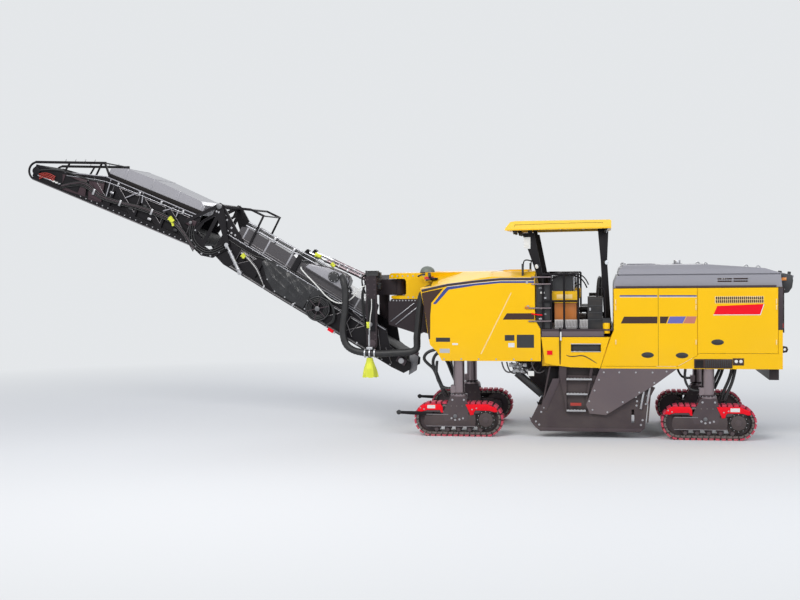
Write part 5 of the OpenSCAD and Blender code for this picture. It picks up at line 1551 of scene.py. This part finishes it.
for z in (3010, 2880, 2432, 2188):
    side_rail.append(pipe("hand_rail", [M(-850, -1236, z), M(-966, -1264, z), M(-560, -1264, z),
        M(-540, -1222, z)] if z > 2800 else [M(-960, -1264, z), M(-560, -1264, z),
        M(-540, -1222, z)], 14, leg_steel))
side_rail += [
    block("rail_grip", (-1026, -1280, 2420), (-950, -1250, 2462), orange, 8),
    cut("post_panel", [(-1088, 3840), (-862, 3840), (-690, 2949), (-600, 2400), (-650, 2400), (-770, 2949),
        (-835, 3101)], -966, -902, frame_dark, 6),
    cut("post_panel_rear", [(320, 3905), (520, 3905), (492, 3300), (566, 2046), (436, 2046), (372, 3300)],
        -966, -902, frame_dark, 6),
    block("post_label", (-1053, -970, 3560), (-940, -966, 3760), white, 2),
    round_bar("yellow_tank", M(472, -1180, 1960), M(472, -1180, 2150), 62, yellow, 28, 6, 6),
    round_bar("tank_cap", M(472, -1180, 2150), M(472, -1180, 2196), 34, white, 24, 4, 3),
    block("tank_box", (400, -1225, 2150), (560, -1090, 2240), black_plastic, 10, inset=14),
    pipe("white_can", [M(-365, -1262, 1990), M(-365, -1266, 1830)], 17, white_rubber, smooth=False),
    pipe("stand_post_low", [M(-380, -1262, 2060), M(-380, -1264, 1700), M(-380, -1240, 1380)],
        13, frame_dark),
    pipe("console_tube", [M(-560, -1080, 2760), M(-600, -1130, 2860), M(-560, -1140, 2960),
        M(-380, -1140, 3040), M(-150, -1140, 3050), M(60, -1140, 2960), M(120, -1140, 2800)], 13, frame_dark),
]
sides(join("stand_trim", side_rail, "chassis"), "chassis")
print("canopy and rails done")

# %% [markdown]
# Below the floor the side shows a recessed step, hoses, brackets and the ladder. The bolts are
# the small bright points that a real one shows along every wear plate.

# %% Step, ladder, skirts and side plates
under = [
    block("recess_back", (-175, -SKIN + 60, 1612), (365, -SKIN + 52, 1758), black_plastic, 2),
    block("recess_tread", (-178, -SKIN + 2, 1612), (368, -SKIN + 60, 1628), zinc, 3),
    block("recess_rim", (-182, -SKIN - 6, 1756), (372, -SKIN - 0.2, 1772), silver, 2),
    block("kick_plate", (-715, -SKIN - 6, 1905), (420, -SKIN - 0.2, 1998), skirt_grey, 3),
]
for z in (1107, 830, 520):
    edge = {1107: 205, 830: 125, 520: 90}[z]
    under.append(block("tread_edge", (-266, -SKIN - 26, z - 16), (edge - 4, -SKIN - 20.5, z + 16), zinc, 3))
    for k in range(6):
        under.append(block("tread_tooth", (-250 + k * 60, -SKIN - 18, z + 18.2),
            (-220 + k * 60, -SKIN + 18, z + 24), zinc, 1.5))
under += [
    bolt_row("skirt_bolts", [M(x, -SKIN, z) for x, z in ((420, 1240), (700, 1240), (1000, 1240), (1300, 1240),
        (1550, 1260), (150, 700), (210, 540), (480, 500), (760, 690), (1060, 870), (1330, 1050), (330, 1100),
        (250, 900))], (0, -1, 0), 11, zinc),
    pipe("step_hose", [M(-380, -1215, 1700), M(-300, -1240, 1560), M(-160, -1246, 1520), M(30, -1246, 1560),
        M(180, -1246, 1480), M(300, -1240, 1400)], 11, hose_rubber),
    block("valve_block", (-620, -SKIN - 12, 1560), (-520, -SKIN - 0.2, 1640), red, 5, inset=12),
]
sides(join("under_stand", under, "chassis"), "chassis")
PLATE_Y = -1180
plate_trim = [
    bolt_row("wear_bolts", [M(x, PLATE_Y, z) for x, z in [(-700 + k * 90, 165) for k in range(7)]
        + [(60, 170), (130, 170), (200, 170)] + [(480 + k * 90, 165) for k in range(7)] + [(-840, 300),
        (-780, 240), (-690, 560), (-740, 480)] + [(1010, 620), (1020, 700), (1000, 780), (980, 860),
        (1090, 260), (1120, 350), (1180, 650), (1210, 800)]], (0, -1, 0), 13, zinc),
    cut("wear_strip", [(-735, 124), (1085, 124), (1130, 190), (-800, 190)], PLATE_Y,
        PLATE_Y - 12, leg_grey, 3),
    cut("plate_rib", [(-780, 500), (-640, 500), (-380, 1100), (-400, 1110), (-520, 1110)], PLATE_Y,
        PLATE_Y - 8, leg_grey, 3),
    round_bar("lift_barrel_a", M(1205, PLATE_Y - 17, 660), M(1250, PLATE_Y - 17, 960), 22, zinc, 20, 5, 2),
    round_bar("lift_barrel_b", M(1085, PLATE_Y - 17, 560), M(1140, PLATE_Y - 17, 880), 22, zinc, 20, 5, 2),
    cut("ski_tip", [(-925, 360), (-880, 290), (-800, 200), (-720, 120), (-760, 118), (-850, 190), (-930, 290),
        (-960, 380)], PLATE_Y + 35, PLATE_Y, leg_grey, 3),
]
plate_trim = join("side_plate_trim_left", plate_trim, "side_plate_left")
other_side(plate_trim, "side_plate_trim_right", "side_plate_right")
print("lower side done")

# %% [markdown]
# On the hood sit the lifting eyes, the air intake and the exhaust; behind it the lip carries the
# rear lamps. The front cover carries a dome antenna, a red marker lamp, silver latches and a
# row of bolts along the chute.

# %% Hood and rear
hood = []
for x in (806, 2276, 3210):
    z = 3210 if x < 2400 else 3130
    for s in (-1, 1):
        clear()
        bpy.ops.mesh.primitive_torus_add(major_radius=0.036, minor_radius=0.011, major_segments=24,
            minor_segments=8, location=M(x, s * 880, z - (4 if x < 2400 else -10)),
            rotation=(math.pi / 2, 0, 0))
        hood.append(keep("lifting_eye", zinc, 0, 60))
hood += [
    cut("hood_foot", [(606, 2780), (606, 2796), (3588, 2796), (3588, 2780)], -1209, -1216, gap_black, 1),
    cut("hood_foot_far", [(606, 2780), (606, 2796), (3588, 2796), (3588, 2780)], 1209, 1216, gap_black, 1),
]
for s in (-1, 1):
    for z in (2888, 2933):
        for x0 in (2462, 2742):
            for k in range(6):
                hood.append(cut("slot_blade", [(x0 + k * 42, z), (x0 + k * 42 + 30, z + 4),
                    (x0 + k * 42 + 34, z + 26), (x0 + k * 42 + 4, z + 26)], s * 1187, s * 1183, brown, 0))
hood += [
    block("lid_seam", (1440, -1010, 3209), (1452, 1010, 3213), gap_black, 0.5),
    block("lid_seam_b", (2276, -1010, 3209), (2288, 1010, 3213), gap_black, 0.5),
]
for k in range(9):
    hood.append(cut("intake_blade", [(900 + k * 52, 3210), (936 + k * 52, 3222), (942 + k * 52, 3218),
        (910 + k * 52, 3208)], -420, 420, black_plastic, 1))
hood += [
    block("intake_rim", (880, -450, 3208), (1390, 450, 3213), hood_grey, 3, inset=20),
    round_bar("exhaust", M(1850, 480, 3190), M(1850, 480, 3290), 66, zinc, 32, 0, 3),
    round_bar("exhaust_ring", M(1850, 480, 3208), M(1850, 480, 3222), 96, hood_grey, 32, 0, 3),
]
join("hood_trim", hood, "chassis")
back = []
for s in (-1, 1):
    back += [
        lamp("tail_lamp", M(3600, s * 1140, 2600), (1, 0, 0), 55, glass=red_glass, depth=40),
        lamp("turn_lamp", M(3600, s * 1140, 2450), (1, 0, 0), 50, glass=amber_glass, depth=40),
        lamp("lip_lamp", M(3800, s * 560, 3010), (1, s * 0.1, -0.15), 58, depth=70),
        block("lip_stay", (3700, s * 560 - 16, 2960), (3790, s * 560 + 16, 2985), frame_dark, 3),
        block("reflector", (3590.5, s * 1200 - 30, 2060), (3602, s * 1200 + 30, 2140), red_glass, 4, inset=6),
        bolt_row("rear_bolts", [M(3590, s * y, z) for y in (560, 820, 1180) for z in (1350, 1500, 1900)],
            (1, 0, 0), 12, zinc),
        cut("edge_strip", [(3512, 2021), (3590, 2021), (3590, 2785), (3512, 2785)], s * SKIN,
            s * (SKIN + 5), plate_grey, 2),
    ]
back += [
    bolt_row("grille_bolts", [M(3640, y, z) for y in (-1040, -520, 0, 520, 1040) for z in (1990, 2750)],
        (1, 0, 0), 11, zinc),
    block("tool_box", (3592, 380, 1700), (3660, 760, 1880), black_plastic, 14, inset=24),
    block("tow_label", (3590.5, -420, 1660), (3594, -240, 1740), silver, 1),
]
join("rear_trim", back, "chassis")

# %% Front cover and chute
front = []
for s in (-1, 1):
    for x, z in ((-982, 2920), (-967, 2453)):
        front.append(block("cover_latch", (x - 22, s * (SKIN + 14), z - 30), (x + 22, s * SKIN, z + 30),
            zinc, 4, inset=9))
    front += [
        bolt_row("cover_bolts", [M(-2560 + k * 330, s * SKIN, 1475) for k in range(6)], (0, s, 0), 10, zinc),
        block("front_lamp_base", (-2850, s * 900 - 70, 2975), (-2720, s * 900 + 70, 3010), frame_dark, 6),
        lamp("front_lamp", M(-2870, s * 900, 3050), (-1, 0, -0.2), 68),
        bolt_row("mount_bolts", [M(-3700 + k * 105, s * 400, 3040) for k in range(8)]
            + [M(-3380 + k * 100, s * 400, 2620) for k in range(5)], (0, s, 0), 11, zinc),
        bolt_row("chute_bolts", [M(-3740 + k * 62, s * 400, 2555) for k in range(10)], (0, s, 0), 9, zinc),
    ]
    for a, b in (((-3740, 2140), (-3260, 2500)), ((-3640, 2080), (-3200, 2420))):
        front.append(round_bar("chute_rib", M(a[0], s * 404, a[1]), M(b[0], s * 404, b[1]), 12,
            pipe_steel, 12))
clear()
bpy.ops.mesh.primitive_uv_sphere_add(segments=32, ring_count=16, radius=0.145, location=M(-3004, -300, 3112))
for v in bpy.context.object.data.vertices:
    v.co.z = max(0, v.co.z) * 0.82
dome_finish = rubber("dome_finish", (0.16, 0.18, 0.16), 0.5, 0.1, 300)
front += [
    keep("dome", dome_finish, 0, 60),
    round_bar("dome_base", M(-3004, -300, 3095), M(-3004, -300, 3113), 150, black_plastic, 36, 0, 4),
    block("shoulder_lamp", (-2985, -828, 2976), (-2800, -772, 3032), red_glass, 16, inset=9),
    block("shoulder_lamp_foot", (-2960, -840, 2950), (-2830, -760, 2980), black_plastic, 6),
    pipe("shoulder_hose", [M(-3160, -520, 3030), M(-3080, -560, 3075), M(-2960, -640, 3060),
        M(-2880, -700, 3010)], 16, hose_rubber),
    round_bar("chute_cylinder", M(-1216, -820, 1179), M(-740, -820, 770), 72, black_plastic, 28, 6, 4),
    round_bar("chute_rod", M(-900, -820, 908), M(-680, -820, 718), 34, pin_steel, 20, 0, 2),
    cut("web_plate", [(-700, 1300), (-420, 1300), (-400, 760), (-560, 760)], -1000, -988, frame_dark, 4),
]
for k, (x, z, wide, finish) in enumerate(((-1300, 1330, 60, zinc), (-1190, 1300, 80, pin_steel),
    (-1080, 1330, 55, zinc), (-1240, 1220, 50, silver), (-1120, 1210, 70, zinc),
    (-1010, 1230, 60, pin_steel))):
    front += [
        block("valve_body", (x - wide, -900, z - 34), (x + wide, -780, z + 34), finish, 8, inset=12),
        round_bar("valve_port", M(x, -900, z), M(x, -922, z), 20, silver if k % 2 else zinc, 16, 4, 2),
    ]
for k in range(7):
    x = -1500 + 95 * k
    front.append(pipe("belly_hose", [M(x, -860 - 8 * k, 1390), M(x + 30, -872 - 8 * k, 1240 - 14 * (k % 3)),
        M(x + 150, -880 - 6 * k, 1170 - 20 * (k % 2)), M(x + 290, -872 - 6 * k, 1270),
        M(x + 330, -860, 1390)], 15 - k % 3, hose_rubber if k % 3 else edge_steel))
front += [
    lamp("marker", M(-2860, -1130, 2760), (-0.7, -0.7, 0), 42, glass=red_glass),
    block("roof_seam", (-1660, -1180, 3108), (-1650, 1180, 3113), gap_black, 0.5),
    block("roof_hatch", (-1500, -520, 3108), (-1000, 520, 3118), yellow, 6, inset=30),
    bolt_row("hatch_bolts", [M(x, y, 3118) for x in (-1470, -1030) for y in (-480, -160, 160, 480)],
        (0, 0, 1), 11, zinc),
]
join("front_trim", front, "chassis")
lip = [
    cut("rear_lip", [(3545, 3003), (3640, 3034), (3801, 3000), (3812, 2900), (3795, 2775), (3731, 2680),
        (3650, 2672), (3590, 2710), (3566, 2850)], -985, -760, black_plastic, 26),
    block("lip_lamp", (3600, -1003, 2905), (3690, -984, 2960), amber_glass, 8),
]
sides(join("rear_lip", lip, "chassis"), "chassis")
print("body trim done")

# %% [markdown]
# Two pieces of cloth hang on the conveyor. The black tarp is lashed flat over the truss, so it
# puckers in short folds that run from lashing to lashing; it is a fine grid fitted between the
# outline's edges, with its folds pressed in as sums of slanting waves, which hold a sharper
# crease than a simulated sheet of this size.

# %% The tarp over the truss
TARP_START, TARP_END = -2778, -1252
TARP_TOP = [(-2780, 240), (-2700, 340), (-2300, 360), (-1900, 372), (-1250, 350)]
TARP_LOW = [(-2780, 240), (-2500, -20), (-2250, -150), (-1530, -140), (-1565, -60), (-1575, 80), (-1480, 230),
    (-1300, 290), (-1250, 350)]


def edge_at(line, x):
    for (x0, z0), (x1, z1) in zip(line, line[1:]):
        if min(x0, x1) <= x <= max(x0, x1) and x0 != x1:
            return z0 + (z1 - z0) * (x - x0) / (x1 - x0)
    return line[-1][1]


def crease(x, z, u, v):
    """Height of the folds: slack in the middle, tight at the lashings along both edges."""
    slack = (math.sin(math.pi * min(1, max(0, v))) ** 0.7) * (math.sin(math.pi * u) ** 0.4)
    h = 0
    for turn, wide, deep, seed in ((0.95, 330, 30, 0.3), (0.66, 210, 19, 1.9), (1.25, 150, 11, 4.2),
        (0.45, 470, 22, 2.6), (-0.6, 280, 6, 0.7)):
        along = x * math.cos(turn) + z * math.sin(turn)
        bent = along + 38 * math.sin((x * math.sin(turn) - z * math.cos(turn)) / (wide * 1.9) + seed)
        h += deep * (1 - abs(math.sin(bent / wide * math.pi + seed))) ** 2
    pull = sum(math.exp(-((x - a) ** 2 + (z - b) ** 2) / 90 ** 2) for a, b in TARP_TIES)
    return h * slack * (1 - min(0.85, pull)) + 3


TARP_TIES = [(x, edge_at(TARP_TOP, x)) for x in range(-2700, -1250, 240)] + [(-2500, -20), (-2250, -150),
    (-2010, -145), (-1770, -142), (-1540, -140), (-1570, 60), (-1420, 250)]
clear()
bpy.ops.mesh.primitive_grid_add(x_subdivisions=150, y_subdivisions=64, size=2)
tarp = bpy.context.object
for p in tarp.data.vertices:
    u, v = (p.co.x + 1) / 2, (p.co.y + 1) / 2
    x = min(TARP_START + u * (TARP_END - TARP_START), TARP_END)
    low, high = edge_at(TARP_LOW, x), edge_at(TARP_TOP, x)
    if x > -1575:
        low = 80 + (x + 1575) / 325 * 268
    z = low + (high - low) * v
    p.co = L(x, -601.5 - crease(x, z, u, v), z)
face_out()
if sum(p.normal.y for p in tarp.data.polygons) > 0:
    tarp.data.flip_normals()
finish_with(tarp, "SOLIDIFY", thickness=0.0015, offset=-1)
tarp = keep("tarp", tarp_cloth, 0, 70, body="lower")
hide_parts("side_tarp")
ties = [bolt_row("tarp_eyes", [L(a, -606, b - (14 if b > 0 else -14)) for a, b in TARP_TIES],
    (0, -1, 0), 9, zinc, 3)]
for a, b in TARP_TIES:
    up = 46 if b > 0 else -46
    ties.append(pipe("lashing", [L(a, -610, b), L(a + 6, -612, b + up * 0.5), L(a + 2, -604, b + up)],
        4, black_rubber))
join("tarp_lashings", ties, "lower")

# %% [markdown]
# The bag that hangs under the duct is hi-vis cloth, gathered in a clamp and open to a wide hem.
# A round section is drawn up ring by ring, and each ring is waved: the folds are deep at the
# hem and die out in the gather. The same cloth is wound round the hoses as markers.

# %% The hi-vis bag and the markers
BAG, BAG_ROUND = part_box("hang_bag"), 2 * math.pi * 0.125
bag_x, bag_y = ((BAG[0][i] + BAG[1][i]) / 2 for i in range(2))
bag_low, bag_high = BAG[0][2], BAG[1][2]
clear()
bpy.ops.mesh.primitive_circle_add(vertices=96, radius=1, fill_type="NOTHING")
bag = bpy.context.object
edit()
bpy.ops.mesh.select_all(action="SELECT")
RINGS = 26
for k in range(RINGS):
    bpy.ops.mesh.extrude_region_move(TRANSFORM_OT_translate={"value": (0, 0, 1)})
leave()
for p in bag.data.vertices:
    t, a = p.co.z / RINGS, math.atan2(p.co.y, p.co.x)
    full = 0.157 - 0.1 * t ** 0.85 + 0.012 * math.sin(math.pi * min(1, t * 1.3))
    folds = 0.1 * (1 - t) ** 0.8 * math.cos(7 * a + 0.7 * math.sin(3 * a) + 2 * t) + 0.045 * math.cos(13
        * a - 5 * t + 1) * (1 - 0.5 * t)
    r = full * (1 + folds * 0.62)
    sway = 0.006 * math.sin(3 * t + 1)
    z = bag_low + 0.004 + (bag_high - bag_low - 0.006) * t + 0.008 * (1 - t) ** 3 * math.cos(7 * a)
    p.co = Vector((bag_x + r * math.cos(a) + sway, bag_y + r * math.sin(a), max(z, bag_low + 0.001)))
face_out()
bag_area = sum(p.area for p in bag.data.polygons)
finish_with(bag, "SOLIDIFY", thickness=0.0016, offset=-1)
bag = keep("hi_vis_bag", vis_cloth, 0, 80, body="slew")
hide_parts("hang_bag")
print("bag", round(bag_area, 3), "m2 of", round(BAG_ROUND * (bag_high - bag_low), 3))


def wrap(name, a, b, r, body=None):
    """A strip of marker cloth wound round a hose."""
    clear()
    a, b = Vector(a), Vector(b)
    bpy.ops.mesh.primitive_cylinder_add(vertices=24, radius=r / 1000, depth=(b - a).length,
        end_fill_type="NGON")
    o = bpy.context.object
    edit()
    bpy.ops.mesh.select_all(action="SELECT")
    bpy.ops.mesh.subdivide(number_cuts=5)
    leave()
    for p in o.data.vertices:
        t, t2 = p.co.z, math.atan2(p.co.y, p.co.x)
        k = 1 + 0.16 * math.sin(90 * t + 3 * t2) + 0.1 * math.cos(5 * t2 + 60 * t)
        p.co.x *= k
        p.co.y *= k
    o.matrix_world = Matrix.Translation((a + b) / 2) @ (b - a).to_track_quat("Z", "Y").to_matrix().to_4x4()
    return keep(name, vis_cloth, 0, 80, body=body)


wraps = []
for a, b in (((-1930, -455, 905), (-1800, -452, 925)), ((-1560, -425, 905), (-1470, -420, 895))):
    wraps.append(wrap("wrap", L(*a), L(*b), 40))
wraps.append(wrap("wrap", L(-3190, -640, 158), L(-3110, -640, 142), 44))
join("marker_wraps_lower", wraps, "lower")
wraps = [wrap("wrap", M(-4134, -716, 2150), M(-4130, -716, 2030), 32)]
join("marker_wrap_slew", wraps, "slew")
wraps = [wrap("wrap", O(-900, -640, -610), O(-790, -640, -660), 46), wrap("wrap", O(-800, -636, -690),
    O(-760, -636, -735), 26)]
join("marker_wrap_outer", wraps, "outer")
print("soft goods done")

# %% [markdown]
# The floor is a plain pale sheet. Close to the machine it is a matt surface that takes the
# shadow; further out it turns, over a few metres, into the backdrop's own colour, so that no
# horizon line cuts the picture.

# %% Floor
clear()
bpy.ops.mesh.primitive_plane_add(size=400, location=(0, 0, cad_box[0][2]))
floor = bpy.context.object
floor.name = "floor"
bpy.ops.object.transform_apply(location=True)
ground = Finish("floor", (0.74, 0.75, 0.77), 0.9)
ground.bump(ground.noise(3, 4), 0.001, 0.2)
ray = ground.tree.nodes.new("ShaderNodeLightPath").outputs
looked_at = S(ground, ray["Is Camera Ray"]).most(S(ground, ray["Is Glossy Ray"])).most(S(ground,
    ray["Is Transmission Ray"]))
away = ((ground.x * ground.x * 0.55 + ground.y * ground.y) ** 0.5).ramp(5.0, 15.0) * looked_at
glow = ground.node("ShaderNodeEmission", {}, {"Color": (0.78, 0.8, 0.82), "Strength": 1.0})
mixed = ground.node("ShaderNodeMixShader", {}, {0: away, 1: S(ground, ground.shader.outputs[0]), 2: glow})
ground.tree.links.new(mixed.socket, ground.tree.nodes["Material Output"].inputs["Surface"])
floor.data.materials.append(ground.material)
